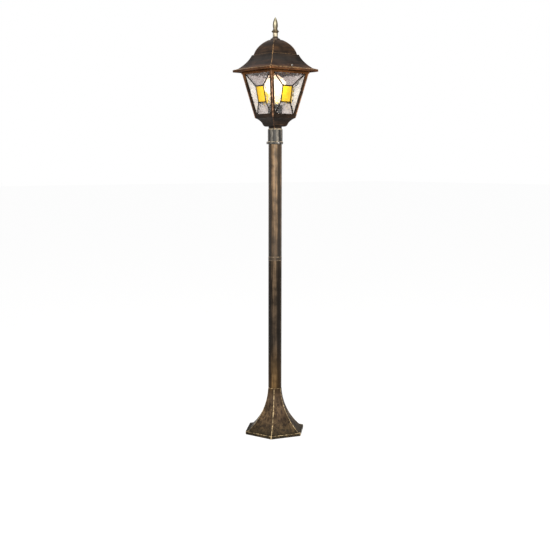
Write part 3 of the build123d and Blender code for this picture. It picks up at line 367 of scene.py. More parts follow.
def paintMaterial(name, settings):
    material, tree, shader = startMaterial(name, {"Specular IOR Level": settings["specular"]})
    values = {}
    for label, key in paintInputs.items():
        if key in settings.get("stops", {}):
            tint = dict(zip(("Low", "High"), settings["levels"]))
            for stop, colour in zip(("Foot", "Middle", "Upper", "Top"), settings["stops"][key]):
                tint[stop] = linear(*colour)
            values[label] = placeGroup(tree, tintByHeight, tint)["Color"]
        elif key in ("dark", "secondDark", "rubbed", "bare"):
            values[label] = linear(*settings[key])
        elif key in settings:
            values[label] = settings[key]
    # painted highlight bands set how much of the lighter layer shows round a turned piece
    if "bands" in settings:
        count, centre, low, high, least = settings["bands"]
        mask = placeGroup(tree, brushedBands, {"Bands": count, "Centre": radians(centre),
                                               "Low": low, "High": high})["Mask"]
        values["Rub Share"] = remap(mask, 0.0, 1.0, least, settings["rubShare"])
    lines = [placeGroup(tree, hipLine, {"Sector": 2 * pi / sides, "Width": width,
                                        "First": radians(turn + 180 / sides)})["Mask"] * strength
             for sides, turn, width, strength in settings.get("hips", ())]
    lines += [placeGroup(tree, levelLine, {"Level": level, "Width": width})["Mask"] * strength
              for level, width, strength in settings.get("rings", ())]
    for line in lines:
        values["Lines"] = values["Lines"].math("MAXIMUM", line) if "Lines" in values else line
    dress(shader, placeGroup(tree, wornPaint, values), 0.3, 0.0004)
    return material


def metalMaterial(name, clean, dull, dullness=0.4, polish=0.6):
    material, tree, shader = startMaterial(name, {"Metallic": 1.0})
    dress(shader, placeGroup(tree, smallMetal, {
        "Clean": linear(*clean), "Dull": linear(*dull), "Dullness": dullness,
        "Polish": polish}), 0.2, 0.0001)
    return material


def mouldedMaterial(name, base, dust, dustShare, gloss):
    material, tree, shader = startMaterial(name, {"Specular IOR Level": 0.5})
    dress(shader, placeGroup(tree, mouldedGrain, {
        "Base": linear(*base), "Dust": linear(*dust), "Dust Share": dustShare,
        "Gloss": gloss}), 0.15, 0.0001)
    return material


def glassMaterial(name, settings):
    paintedGlow = settings.get("paintedGlow", 0.0)
    material, tree, shader = startMaterial(name, {
        "Transmission Weight": 1.0, "IOR": 1.47, "Metallic": 0.0,
        "Roughness": settings["roughness"], "Emission Strength": paintedGlow})
    values = {label: linear(*settings[label.lower()]) for label in ("Clear", "Grey", "Wrinkle")}
    values.update({"Wave Size": settings["waves"], "Wrinkle Share": settings["share"]})
    if settings.get("toned"):
        tone = addNode(tree, "ShaderNodeAttribute", attribute_name="tone")
        values["Tone"] = Wire(tone.outputs["Fac"])
    glass = placeGroup(tree, pouredGlass, values)
    dress(shader, glass, settings["bump"], 0.001)
    # painted glow: the yellow pane gives off light in its own colour, standing for the bulb's light
    # shining through it
    if paintedGlow:
        link({"Emission Color": glass["Color"]}, shader.inputs)
    return material


# paints: a brown-black ground under brushed gold-brown, worn to bare lines along the edges,
# with painted highlights in the bands and in some rings of the turned pieces and the roof;
# colours in screen values, hips (sides, turn, width, strength), rings (level, width, strength),
# bands (count, centre, low, high, least)
paintSettings = {
    "roofPaint": {
        "stretch": (18, 18, 330), "rubShare": 0.5, "grain": 0.5, "specular": 0.05,
        "bare": (206, 164, 118), "levels": (1.0475, 1.137), "hips": [(4, 0, 0.0012, 0.8)],
        # the line at the fascia top, the wide line across the shoulder and the copper low on the
        # fascia are partly painted highlight where they catch light
        "rings": [(1.0956, 0.0008, 0.5), (1.0541, 0.001, 1.0), (1.056, 0.0024, 0.55)],
        "stops": {
            "dark": ((38, 27, 21), (30, 28, 27), (32, 26, 22), (38, 29, 24)),
            "secondDark": ((52, 40, 33), (48, 46, 45), (46, 38, 33), (52, 40, 32)),
            "rubbed": ((150, 98, 62), (70, 62, 57), (104, 76, 54), (116, 84, 58))}},
    "roofInside": {
        # lighter, warmer copy of the roof paint for its inner faces: partly painted light from the
        # bulb
        "dark": (84, 54, 30), "secondDark": (104, 70, 40), "rubbed": (170, 112, 60),
        "bare": (214, 168, 110), "stretch": (60, 60, 200), "rubShare": 0.8, "grain": 0.4,
        "specular": 0.01},
    "bowlPaint": {
        "dark": (32, 26, 22), "secondDark": (44, 41, 39), "rubbed": (84, 64, 50),
        "bare": (168, 124, 92), "specular": 0.05, "stretch": (60, 60, 300), "rubShare": 0.4,
        "grain": 0.5, "hips": [(4, 0, 0.0016, 0.6)], "rings": [(0.899, 0.0009, 0.2)]},
    "framePaint": {
        "stretch": (90, 90, 170), "rubShare": 0.5, "grain": 0.5, "bare": (206, 158, 124),
        "levels": (0.921, 1.0565), "specular": 0.05, "hips": [(4, 0, 0.0026, 1.0)],
        "stops": {
            "dark": ((32, 26, 22), (36, 27, 21), (40, 30, 23), (112, 72, 40)),
            "secondDark": ((42, 37, 33), (44, 33, 26), (48, 37, 28), (132, 86, 48)),
            "rubbed": ((80, 60, 48), (84, 60, 42), (92, 66, 46), (176, 116, 66))}},
    "collarPaint": {
        # the light grey bands and the cream lines at the top rim and lower ring are painted
        # highlights
        "dark": (32, 31, 29), "secondDark": (44, 42, 39), "rubbed": (152, 147, 138),
        "bare": (244, 226, 192), "stretch": (90, 90, 60), "rubShare": 0.9, "grain": 0.4,
        "specular": 0.3, "bands": (8.0, -22.5, -0.6, 0.6, 0.0),
        "rings": [(0.8872, 0.0018, 1.0), (0.851, 0.0012, 0.8)]},
    "finialPaint": {
        "stretch": (300, 300, 60), "rubShare": 1.0, "grain": 0.4, "specular": 0.3,
        # the cream neck line, the cream spear and the light and dark bands are painted highlight
        # and reflection
        "bare": (246, 234, 204), "levels": (1.137, 1.2), "rings": [(1.1508, 0.0064, 0.9)],
        "bands": (4.0, -45.0, -0.7, 0.3, 0.0),
        "stops": {
            "dark": ((34, 27, 22), (64, 54, 36), (60, 54, 34), (84, 78, 54)),
            "secondDark": ((46, 38, 33), (72, 62, 44), (74, 68, 46), (96, 90, 66)),
            "rubbed": ((120, 98, 80), (150, 130, 96), (246, 238, 204), (250, 244, 214))}},
    "upperTubePaint": {
        # the light bands are painted highlight stripes where upright lamps reflect; the tube is
        # lighter towards the top
        "bare": (244, 214, 160), "stretch": (520, 520, 9), "rubShare": 1.0, "grain": 0.35,
        "polish": 0.9, "specular": 0.22, "levels": (0.521, 0.86),
        "bands": (4.0, -45.0, -0.7, 0.15, 0.05),
        "stops": {
            "dark": ((34, 29, 24), (38, 31, 25), (46, 38, 30), (62, 50, 37)),
            "secondDark": ((40, 35, 30), (44, 37, 31), (54, 45, 35), (70, 56, 41)),
            "rubbed": ((128, 107, 86), (160, 132, 102), (174, 144, 113), (186, 154, 116))}},
    "lowerTubePaint": {
        # the light bands are painted highlight stripes where upright lamps reflect
        "bare": (210, 180, 136), "stretch": (520, 520, 9), "rubShare": 1.0, "grain": 0.5,
        "specular": 0.06, "levels": (0.133, 0.509), "bands": (4.0, -45.0, -0.6, 0.25, 0.05),
        "stops": {
            "dark": ((46, 34, 22), (28, 25, 22), (28, 25, 22), (32, 27, 23)),
            "secondDark": ((60, 45, 28), (34, 31, 28), (34, 31, 28), (38, 33, 28)),
            "rubbed": ((150, 120, 80), (92, 79, 68), (130, 110, 90), (150, 126, 101))}},
    "couplerPaint": {
        # the light bands and the two lines at the ring's edges are painted highlights
        "dark": (44, 36, 28), "secondDark": (54, 46, 38), "rubbed": (118, 98, 76),
        "bare": (186, 164, 136), "stretch": (520, 520, 9), "rubShare": 0.8, "grain": 0.4,
        "specular": 0.25, "bands": (4.0, -45.0, -0.5, 0.35, 0.05),
        "rings": [(0.5202, 0.0012, 0.75), (0.5098, 0.0011, 0.6)]},
    "footPaint": {
        "stretch": (400, 400, 9), "rubShare": 0.75, "grain": 0.6, "specular": 0.01,
        "bare": (248, 222, 174), "levels": (0.009, 0.14), "hips": [(6, -15, 0.0013, 1.0)],
        "rings": [(0.0086, 0.0009, 0.75), (0.1326, 0.001, 0.8)],
        "stops": {
            "dark": ((30, 31, 28), (44, 35, 31), (43, 36, 33), (44, 37, 29)),
            "secondDark": ((40, 40, 36), (62, 50, 46), (58, 50, 47), (60, 48, 36)),
            "rubbed": ((96, 80, 58), (156, 130, 98), (132, 110, 88), (118, 90, 54))}},
    "leadCame": {
        "dark": (24, 18, 14), "secondDark": (34, 28, 22), "rubbed": (60, 48, 38),
        "bare": (150, 136, 120), "stretch": (260, 260, 260), "rubShare": 0.4, "grain": 0.6,
        "specular": 0.1},
}

# clean colour, dull colour, dullness, polish
metalSettings = {
    "zincSteel": ((176, 176, 172), (112, 110, 104)),
    "brightSteel": ((226, 226, 222), (150, 148, 142), 0.25, 0.8),
    "agedSteel": ((146, 142, 138), (62, 56, 50), 0.75, 0.35),
    "plainBrass": ((206, 172, 104), (128, 100, 58)),
}
# base colour, dust colour, share of dust, gloss
mouldedSettings = {
    "blackPlastic": ((26, 25, 25), (80, 76, 70), 0.2, 0.85),
    "mattBlackRubber": ((30, 30, 30), (92, 88, 80), 0.3, 0.2),
    "offWhiteNylon": ((224, 220, 208), (170, 160, 140), 0.3, 0.5),
    "glazedCeramic": ((232, 228, 216), (180, 170, 150), 0.15, 1.0),
    "brownSleeve": ((110, 66, 40), (150, 120, 90), 0.2, 0.6),
    "greenSleeve": ((150, 170, 40), (60, 120, 40), 0.6, 0.5),
}
glassSettings = {
    "hammeredGlass": {"clear": (255, 253, 248), "grey": (226, 218, 215),
                      "wrinkle": (150, 134, 130), "waves": 75.0, "share": 0.7,
                      "roughness": 0.04, "bump": 0.6, "toned": True},
    "yellowGlass": {"clear": (255, 220, 36), "grey": (252, 200, 10),
                    "wrinkle": (240, 176, 0), "waves": 60.0, "share": 0.5,
                    # the yellow pane's painted glow
                    "roughness": 0.5, "bump": 0.3, "paintedGlow": 0.2},
    "stemGlass": {"clear": (252, 252, 250), "grey": (240, 240, 236),
                  "wrinkle": (220, 220, 216), "waves": 200.0, "share": 0.2,
                  "roughness": 0.02, "bump": 0.1},
}
litSettings = {
    "pearlGlass": {"white": (1.0, 0.88, 0.7, 1), "warm": (0.8, 0.5, 0.26, 1), "strength": 2.1},
    "litFilament": {"white": (1.0, 0.82, 0.5, 1), "warm": (1.0, 0.74, 0.4, 1), "strength": 9.0},
}


def litMaterial(name, settings):
    # lit surface, whitest round its middle level and warmer towards the neck and the crown
    material, tree, shader = startMaterial(name, {
        "Roughness": 0.4, "Base Color": (0.8, 0.8, 0.78, 1),
        "Emission Strength": settings["strength"]})
    spot = objectSpot(tree)
    height, cloud = split(spot)[2], noise(spot, 60.0, 3.0)
    share = remap(height, 0.972, 0.996, 0.1, 1.0) * remap(height, 1.018, 1.037, 1.0, 0.15)
    share = share.math("ADD", remap(cloud, 0.3, 0.7, -0.12, 0.12), clamp=True)
    normal = wire(tree, "ShaderNodeBump", {"Height": cloud, "Strength": 0.05, "Distance": 0.0002})
    link({"Emission Color": blend(share, settings["warm"], settings["white"]),
          "Normal": normal}, shader.inputs)
    return material


finishes = {name: paintMaterial(name, settings) for name, settings in paintSettings.items()}
finishes.update({name: metalMaterial(name, *values) for name, values in metalSettings.items()})
finishes.update({name: mouldedMaterial(name, *values)
                 for name, values in mouldedSettings.items()})
finishes.update({name: glassMaterial(name, settings) for name, settings in glassSettings.items()})
finishes.update({name: litMaterial(name, settings) for name, settings in litSettings.items()})
print("materials made:", len(bpy.data.materials))

sides = ("right", "back", "left", "front")
finishNodes = {  # which CAD nodes wear each finish
    "zincSteel": "ground_plate cleat_screws earth_nut neck_nipple neck_nut_lower neck_washer "
                 "neck_nut_upper frame_screws roof_lugs glass_clips clip_screws finial_washer "
                 "finial_nut",
    "brightSteel": "base_side_screws bulb_cap",
    "agedSteel": "roof_screw_right roof_screw_left collar_screws",
    "plainBrass": "terminal_screws earth_screw thread_sleeve centre_contact bulb_tip_contact",
    "blackPlastic": "bulb_insulator holder_cap holder_shell",
    "mattBlackRubber": "cable_grommet inner_cable cable_cleat roof_screw_seal_right "
                       "roof_screw_seal_left",
    "offWhiteNylon": "terminal_block", "glazedCeramic": "holder_insert",
    "brownSleeve": "holder_wires", "greenSleeve": "earth_lead", "stemGlass": "bulb_stem",
    "litFilament": "bulb_filaments", "pearlGlass": "bulb_glass", "framePaint": "lantern_frame",
    "footPaint": "base_casting", "lowerTubePaint": "lower_tube", "upperTubePaint": "upper_tube",
    "couplerPaint": "tube_coupler", "collarPaint": "clamp_collar", "bowlPaint": "lower_bowl",
    "roofPaint": "roof_skirt roof_dome", "finialPaint": "finial",
    "hammeredGlass": " ".join("clear_glass_" + side for side in sides),
    "yellowGlass": " ".join("yellow_glass_" + side for side in sides),
    "leadCame": " ".join("leading_" + side for side in sides),
}
nodeFinish = {node: finish for finish, names in finishNodes.items() for node in names.split()}
for name, node in nodes.items():
    node.data.materials.clear()
    node.data.materials.append(finishes[nodeFinish[name]])


# profiles: (half width, height) pairs in millimetres


def bow(start, end, sagitta, count=12):
    # an arc from start to end, bulging to its left by the sagitta
    (x0, y0), (x1, y1) = start, end
    chord = sqrt((x1 - x0) ** 2 + (y1 - y0) ** 2)
    half = 2 * atan(2 * abs(sagitta) / chord)
    radius = chord / 2 / sin(half)
    along = ((x1 - x0) / chord, (y1 - y0) / chord)
    left = (-along[1], along[0])
    sign = 1 if sagitta > 0 else -1
    points = []
    for number in range(1, count + 1):
        angle = -half + 2 * half * number / count
        forward = radius * (sin(angle) + sin(half))
        aside = sign * radius * (cos(angle) - cos(half))
        points.append((x0 + along[0] * forward + left[0] * aside,
                       y0 + along[1] * forward + left[1] * aside))
    return points


def inset(points, distance):
    # the same open line, moved to its left by a distance
    moved = []
    for number, point in enumerate(points):
        before = Vector(points[number - 1]) if number else None
        after = Vector(points[number + 1]) if number + 1 < len(points) else None
        here = Vector(point)
        ways = []
        if before is not None and (here - before).length > 1e-9:
            ways.append((here - before).normalized())
        if after is not None and (after - here).length > 1e-9:
            ways.append((after - here).normalized())
        mean = sum(ways, Vector((0, 0))).normalized()
        normal = Vector((-mean.y, mean.x))
        share = normal.dot(Vector((-ways[0].y, ways[0].x)))
        moved.append(tuple(here + normal * distance / max(share, 0.3)))
    return moved


def softened(points, radius, steps=3):
    # a closed line with its real corners rounded
    result = []
    count = len(points)
    for number in range(count):
        here = Vector(points[number])
        before = Vector(points[number - 1]) - here
        after = Vector(points[(number + 1) % count]) - here
        turn = pi - before.angle(after) if before.length and after.length else 0
        if turn < radians(14):
            result.append(tuple(here))
            continue
        reach = min(radius * tan(turn / 2), 0.4 * before.length, 0.4 * after.length)
        start = here + before.normalized() * reach
        end = here + after.normalized() * reach
        for step in range(steps + 1):
            share = step / steps
            result.append(tuple(start * (1 - share) ** 2 + here * 2 * share * (1 - share)
                                + end * share ** 2))
    return result


def finished(geometry, finish, smooth=True):
    if smooth:
        geometry = wire(geometry.tree, "GeometryNodeSetShadeSmooth", {"Geometry": geometry})
    return wire(geometry.tree, "GeometryNodeSetMaterial", {"Geometry": geometry,
                                                           "Material": finish})


def makeRingedBody():
    # a closed profile carried round a polygon with rounded corners
    tree, source, result = newTree("ringedBody", "GeometryNodeTree", {
        "Profile": "Geometry", "Sides": 4, "Corner Steps": 4, "Corner Radius": 0.001,
        "Turn": 0.0, "Finish": "Material"}, {"Body": "Geometry"})
    count = wire(tree, "GeometryNodeAttributeDomainSize", {0: source["Profile"]})
    steps = source["Corner Steps"]
    ring = source["Sides"] * steps
    rowSize = ring + 1.0
    grid = wire(tree, "GeometryNodeMeshGrid", {"Size X": 1.0, "Size Y": 1.0,
                                               "Vertices X": count + 1.0, "Vertices Y": rowSize})
    index = wire(tree, "GeometryNodeInputIndex")
    row = ((index + 0.5) / rowSize).math("FLOOR")
    column = (index - row * rowSize).math("MODULO", ring)
    sample = wire(tree, "GeometryNodeSampleIndex", {
        "Geometry": source["Profile"], "Value": wire(tree, "GeometryNodeInputPosition"),
        "Index": row.math("MODULO", count)}, data_type="FLOAT_VECTOR", domain="POINT")
    half, height = split(sample)[::2]
    side = ((column + 0.5) / steps).math("FLOOR")
    step = column - side * steps
    sector = 2 * pi / source["Sides"]
    halfSector = sector * 0.5
    sideAngle = source["Turn"] + side * sector
    cornerAngle = sideAngle + halfSector
    arcAngle = sideAngle + (step + 0.5) / steps * sector
    radius = source["Corner Radius"].math("MINIMUM", half)
    reach = (half - radius) / halfSector.math("COSINE")
    x, y = [reach * cornerAngle.math(wave) + radius * arcAngle.math(wave)
            for wave in ("COSINE", "SINE")]
    target = wire(tree, "ShaderNodeCombineXYZ", {0: x, 1: y, 2: height})
    body = wire(tree, "GeometryNodeSetPosition", {"Geometry": grid, "Position": target})
    merged = wire(tree, "GeometryNodeMergeByDistance", {"Geometry": body,
                                                        "Distance": mergeDistance})
    link({"Body": finished(merged, source["Finish"])}, result)
    return tree


def grow(holder, tree, values):
    modifier = holder.modifiers.new(tree.name, "NODES")
    modifier.node_group = tree
    for item in tree.interface.items_tree:
        if item.item_type == "SOCKET" and item.in_out == "INPUT" and item.name in values:
            modifier[item.identifier] = values[item.name]


def bmeshMesh(name, work):
    # the bmesh as a mesh with that name, and the bmesh freed
    mesh = bpy.data.meshes.new(name)
    work.to_mesh(mesh)
    work.free()
    return mesh


def drawn(name, points, edges=(), faces=()):
    mesh = bpy.data.meshes.new(name)
    mesh.from_pydata(points, edges, faces)
    return sceneObject(name, mesh)


def plainPiece(holder, name, recalculate=True):
    # the evaluated holder as a plain mesh under its own name, and the holder removed
    graph = bpy.context.evaluated_depsgraph_get()
    mesh = bpy.data.meshes.new_from_object(holder.evaluated_get(graph))
    mesh.name = name
    bpy.data.objects.remove(holder)
    for number in reversed(range(len(mesh.materials))):
        if mesh.materials[number] is None:  # empty slot that Set Material leaves in front
            mesh.materials.pop(index=number)
    if recalculate:
        work = bmesh.new()
        work.from_mesh(mesh)
        bmesh.ops.remove_doubles(work, verts=work.verts, dist=mergeDistance)
        bmesh.ops.recalc_face_normals(work, faces=work.faces)
        work.to_mesh(mesh)
        work.free()
    return sceneObject(name, mesh)


ringedBody = makeRingedBody()


def ringedPiece(name, points, finish, sides=96, cornerRadius=1.0, cornerSteps=1, turn=0.0):
    # the profile, in millimetres, is a closed loop of edges in the XZ plane
    count = len(points)
    holder = drawn(name + "Profile", [(half * mm, 0, height * mm) for half, height in points],
                   [(number, (number + 1) % count) for number in range(count)])
    grow(holder, ringedBody, {"Sides": sides, "Corner Steps": cornerSteps,
                              "Corner Radius": cornerRadius, "Turn": radians(turn),
                              "Finish": finishes[finish]})
    return plainPiece(holder, name)


def sleeve(name, inner, outer, low, high, edge, finish, sides=96):
    # a ring or tube between two radii and two levels, its edges rounded
    return ringedPiece(name, softened([(inner, low), (outer, low), (outer, high), (inner, high)],
                                      edge), finish, sides)


def evenShading(piece, angle=40):
    # smooth faces whose normals follow the larger face, kept crisp past an angle
    piece.data.set_sharp_from_angle(angle=radians(angle))
    piece.modifiers.new("weighted", "WEIGHTED_NORMAL").keep_sharp = True
    return plainPiece(piece, piece.name.split(".")[0] + "Whole", recalculate=False)


def joined(name, pieces):
    # several meshes as one
    work = bmesh.new()
    materials = []
    for piece in pieces:
        own = list(piece.data.materials)
        materials += [material for material in own if material not in materials]
        first = len(work.faces)
        work.from_mesh(piece.data)
        work.faces.ensure_lookup_table()
        for face in work.faces[first:]:
            face.material_index = materials.index(own[face.material_index])
    mesh = bmeshMesh(name, work)
    for material in materials:
        mesh.materials.append(material)
    for piece in pieces:
        bpy.data.objects.remove(piece)
    return sceneObject(name, mesh)


def place(piece, *replacedNodes):
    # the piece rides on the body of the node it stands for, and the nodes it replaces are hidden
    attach(piece, bodyOfNode[replacedNodes[0]])
    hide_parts(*replacedNodes)
    return piece


# roof: fascia, shoulder, hollow flare, step and dome as one closed skin
roofSettings = {"eave": 87.0, "eaveFoot": 1047.5, "fasciaTop": 1054.0, "shoulder": 76.5,
                "shoulderTop": 1057.5, "step": 47.8, "stepLevel": 1095.5, "flareCurve": 3.3,
                "dome": 44.4, "domeCurve": 5.6, "crown": 14.4, "crownLevel": 1137.0,
                "studHole": 3.1, "wall": 2.4, "crownWall": 1.6, "cornerRadius": 0.0012,
                "edgeRadius": 1.0, "screwLevel": 1061.5, "bossFace": 73.5, "bossLength": 6.0,
                "bossRadius": 4.2, "bossHole": 1.75, "pocketRadius": 3.6, "pocketPast": 6,
                "ribPlace": 48.0, "ribWidth": 3.0, "ribFoot": 1056.5, "ribInner": 60.2,
                "ribSink": 0.8, "ribTallest": 16}


def turnedAbout(piece, matrix):
    piece.data.transform(matrix)
    if matrix.determinant() < 0:
        piece.data.flip_normals()
    return piece


def cutBy(piece, cutter):
    name = piece.name
    modifier = piece.modifiers.new("cut", "BOOLEAN")
    modifier.object = cutter
    modifier.solver = "EXACT"
    piece.name = name + "Uncut"
    result = plainPiece(piece, name, recalculate=False)
    bpy.data.objects.remove(cutter)
    return result


def roofSkin(settings):
    s = settings
    outer = [(s["eave"], s["eaveFoot"]), (s["eave"], s["fasciaTop"]),
             (s["shoulder"], s["shoulderTop"])]
    outer += bow(outer[-1], (s["step"], s["stepLevel"]), s["flareCurve"], 22)
    outer.append((s["dome"], s["stepLevel"]))
    outer += bow(outer[-1], (s["crown"], s["crownLevel"]), -s["domeCurve"], 22)
    inner = inset(outer, s["wall"])
    inner[0] = (s["eave"] - s["wall"], s["eaveFoot"])
    inner[-1] = (s["crown"] - s["crownWall"], s["crownLevel"] - s["wall"])
    outer.append((s["studHole"], s["crownLevel"]))
    inner.append((s["studHole"], s["crownLevel"] - s["wall"]))
    loop = softened(outer + inner[::-1], s["edgeRadius"])
    skin = ringedPiece("roofSkin", loop, "roofPaint", 4, s["cornerRadius"], 4)
    # from the vertical axis to the screw's seat, facing +X or -X
    seats = [Matrix.Translation((side * s["bossFace"] * mm, 0, s["screwLevel"] * mm))
             @ Matrix.Rotation(radians(90 * side), 4, "Y") for side in (1, -1)]
    for seat in seats:
        reach = s["eave"] - s["bossFace"] + s["pocketPast"]
        pocket = ringedPiece("pocket", [(0, 0), (s["pocketRadius"], 0), (s["pocketRadius"], reach),
                                        (0, reach)], "roofPaint", 32)
        skin = cutBy(skin, turnedAbout(pocket, seat))
    bosses = [turnedAbout(sleeve("boss", s["bossHole"], s["bossRadius"], -s["bossLength"], 0, 0.3,
                                 "roofPaint", 32), seat) for seat in seats]
    # the inner faces take a lighter, warmer copy of the roof paint: partly the paint inside the
    # roof, partly painted light from the bulb
    skin.data.materials.append(finishes["roofInside"])
    for face in skin.data.polygons:
        spot, normal = face.center, face.normal
        ahead = normal.x * spot.x if abs(spot.x) > abs(spot.y) else normal.y * spot.y
        if spot.z > (s["eaveFoot"] + 0.5) * mm and (ahead < 0 or normal.z < -0.1):
            face.material_index = len(skin.data.materials) - 1
    return [skin] + bosses


roofParts = roofSkin(roofSettings)


def roofInnerAt(half, settings):
    # height of the roof's inner face above a point of a side
    s = settings
    rim = [(s["eave"], s["fasciaTop"]), (s["shoulder"], s["shoulderTop"])]
    flare = bow(rim[-1], (s["step"], s["stepLevel"]), s["flareCurve"], 40)
    inner = inset(rim + flare, s["wall"])
    for (x0, z0), (x1, z1) in zip(inner, inner[1:]):
        if x1 <= half <= x0 and x0 != x1:
            return z0 + (z1 - z0) * (x0 - half) / (x0 - x1)
    return inner[0][1]


def seatRibs(settings):
    # eight low ribs under the flare that rest on the frame's top rail
    s = settings
    work = bmesh.new()
    stations = [s["ribInner"] + (s["eave"] - s["wall"] - s["ribInner"]) * share / 10
                for share in range(11)]
    for turn, side in [(turn, side) for turn in range(4) for side in (1, -1)]:
        spin = Matrix.Rotation(turn * pi / 2, 4, "Z")
        low, high = [side * s["ribPlace"] + end * s["ribWidth"] / 2 for end in (-1, 1)]
        rings = []
        for half in stations:
            top = min(roofInnerAt(half, s) + s["ribSink"], s["ribFoot"] + s["ribTallest"])
            foot = s["ribFoot"] if half < s["shoulder"] else min(s["ribFoot"], top - 0.5)
            top = max(top, foot + 0.2)
            rings.append([work.verts.new(spin @ (Vector((half, y, z)) * mm)) for y, z in
                          ((low, foot), (high, foot), (high, top), (low, top))])
        for first, second in zip(rings, rings[1:]):
            for number in range(4):
                after = (number + 1) % 4
                work.faces.new((first[number], first[after], second[after], second[number]))
        work.faces.new(rings[0][::-1])
        work.faces.new(rings[-1])
    bmesh.ops.recalc_face_normals(work, faces=work.faces)
    mesh = bmeshMesh("seatRibs", work)
    mesh.materials.append(finishes["roofPaint"])
    return sceneObject("seatRibs", mesh)


roofWhole = evenShading(joined("roofSkin", roofParts + [seatRibs(roofSettings)]))
place(roofWhole, "roof_skirt", "roof_dome")
print("roof made")

# lower bowl: a four-sided keel, a hollow curve up to the rim, and the boss on the collar
bowlSettings = {"foot": 894.0, "rim": 918.0, "rimHalf": 41.0, "wall": 3.0, "floor": 4.0,
                "bottom": 19.2, "keel": 25.2, "keelHeight": 5.0, "keelCurve": 1.2, "belly": 27.4,
                "bellyHeight": 10.5, "bellyCurve": 1.5, "bossRadius": 19.0, "bossHeight": 5.0,
                "hole": 5.1, "postPlace": 30.0, "postRadius": 4.0, "postHole": 1.55,
                "postFoot": 18.6}


def lowerBowl(settings):
    s = settings
    outer = [(s["hole"], s["foot"]), (s["bottom"], s["foot"])]
    outer += bow(outer[-1], (s["keel"], s["foot"] + s["keelHeight"]), -s["keelCurve"], 8)
    outer.append((s["belly"], s["foot"] + s["bellyHeight"]))
    outer += bow(outer[-1], (s["rimHalf"], s["rim"]), s["bellyCurve"], 12)
    inner = [(s["rimHalf"] - s["wall"], s["rim"])]
    inner += bow(inner[-1], (s["belly"] - s["wall"], s["foot"] + s["bellyHeight"] + s["wall"] / 2),
                 -s["bellyCurve"], 10)
    inner += [(s["keel"] - s["wall"], s["foot"] + s["floor"]), (s["hole"], s["foot"] + s["floor"])]
    bowl = ringedPiece("bowlSkin", softened(outer + inner, 0.7), "bowlPaint", 4, 0.0014, 4)
    parts = [bowl, sleeve("bowlBoss", s["hole"], s["bossRadius"], s["foot"] - s["bossHeight"],
                          s["foot"] + 0.5, 0.8, "bowlPaint")]
    for number in range(4):
        post = sleeve("bowlPost", s["postHole"], s["postRadius"], s["foot"] + s["postFoot"],
                      s["rim"], 0.3, "bowlPaint", 24)
        parts.append(turnedAbout(post, Matrix.Rotation(number * pi / 2, 4, "Z")
                                 @ Matrix.Translation((s["postPlace"] * mm, 0, 0))))
    return joined("lowerBowl", parts)


place(evenShading(lowerBowl(bowlSettings)), "lower_bowl")

# foot casting: hexagonal plinth and hollow flare under a round neck and spigot
footSettings = {"half": 80.713, "plinth": 10.0, "plinthWall": 4.5, "ledge": 8.0, "top": 131.0,
                "topHalf": 18.8, "curve": 12.5, "wall": 4.0, "neck": 19.1, "neckTop": 133.0,
                "spigot": 17.6, "spigotTop": 173.0, "bore": 12.5, "turn": -15.0,
                "cornerRadius": 0.0016, "screwLevel": 4.7, "screwAngles": (45, 225),
                "topPlate": 3}


def footCasting(settings):
    s = settings
    flare = s["half"] - s["ledge"]
    outer = [(s["half"], 0), (s["half"], s["plinth"]), (flare, s["plinth"])]
    outer += bow(outer[-1], (s["topHalf"], s["top"]), s["curve"], 34)
    step = 0.7 * s["wall"]
    lip = (s["topHalf"] - s["wall"], s["top"] - s["topPlate"])
    inner = [(s["bore"], s["top"]), (s["bore"], s["top"] - s["topPlate"]), lip]
    inner += bow(lip, (flare - step, s["plinth"] - step), -s["curve"], 26)
    inner += [(s["half"] - s["plinthWall"], s["plinth"] - step), (s["half"] - s["plinthWall"], 0)]
    skin = ringedPiece("footSkin", softened(outer + inner, 0.9), "footPaint", 6,
                       s["cornerRadius"], 4, s["turn"])
    for angle in s["screwAngles"]:
        sink = ringedPiece("sink", [(0, -12), (1.6, -12), (1.6, -1.4), (3.0, 0), (3.0, 1), (0, 1)],
                           "footPaint", 24)
        turnedAbout(sink, Matrix.Rotation(radians(angle), 4, "Z")
                    @ Matrix.Translation((s["half"] * mm, 0, s["screwLevel"] * mm))
                    @ Matrix.Rotation(pi / 2, 4, "Y"))
        skin = cutBy(skin, sink)
    low = s["top"] - 0.4
    neck = [(s["bore"], low), (s["neck"], low), (s["neck"], s["neckTop"]),
            (s["spigot"], s["neckTop"]), (s["spigot"], s["spigotTop"]),
            (s["bore"], s["spigotTop"])]
    return joined("footCasting", [skin, ringedPiece("footNeck", softened(neck, 0.4),
                                                    "footPaint")])


place(evenShading(footCasting(footSettings)), "base_casting")
print("castings made")

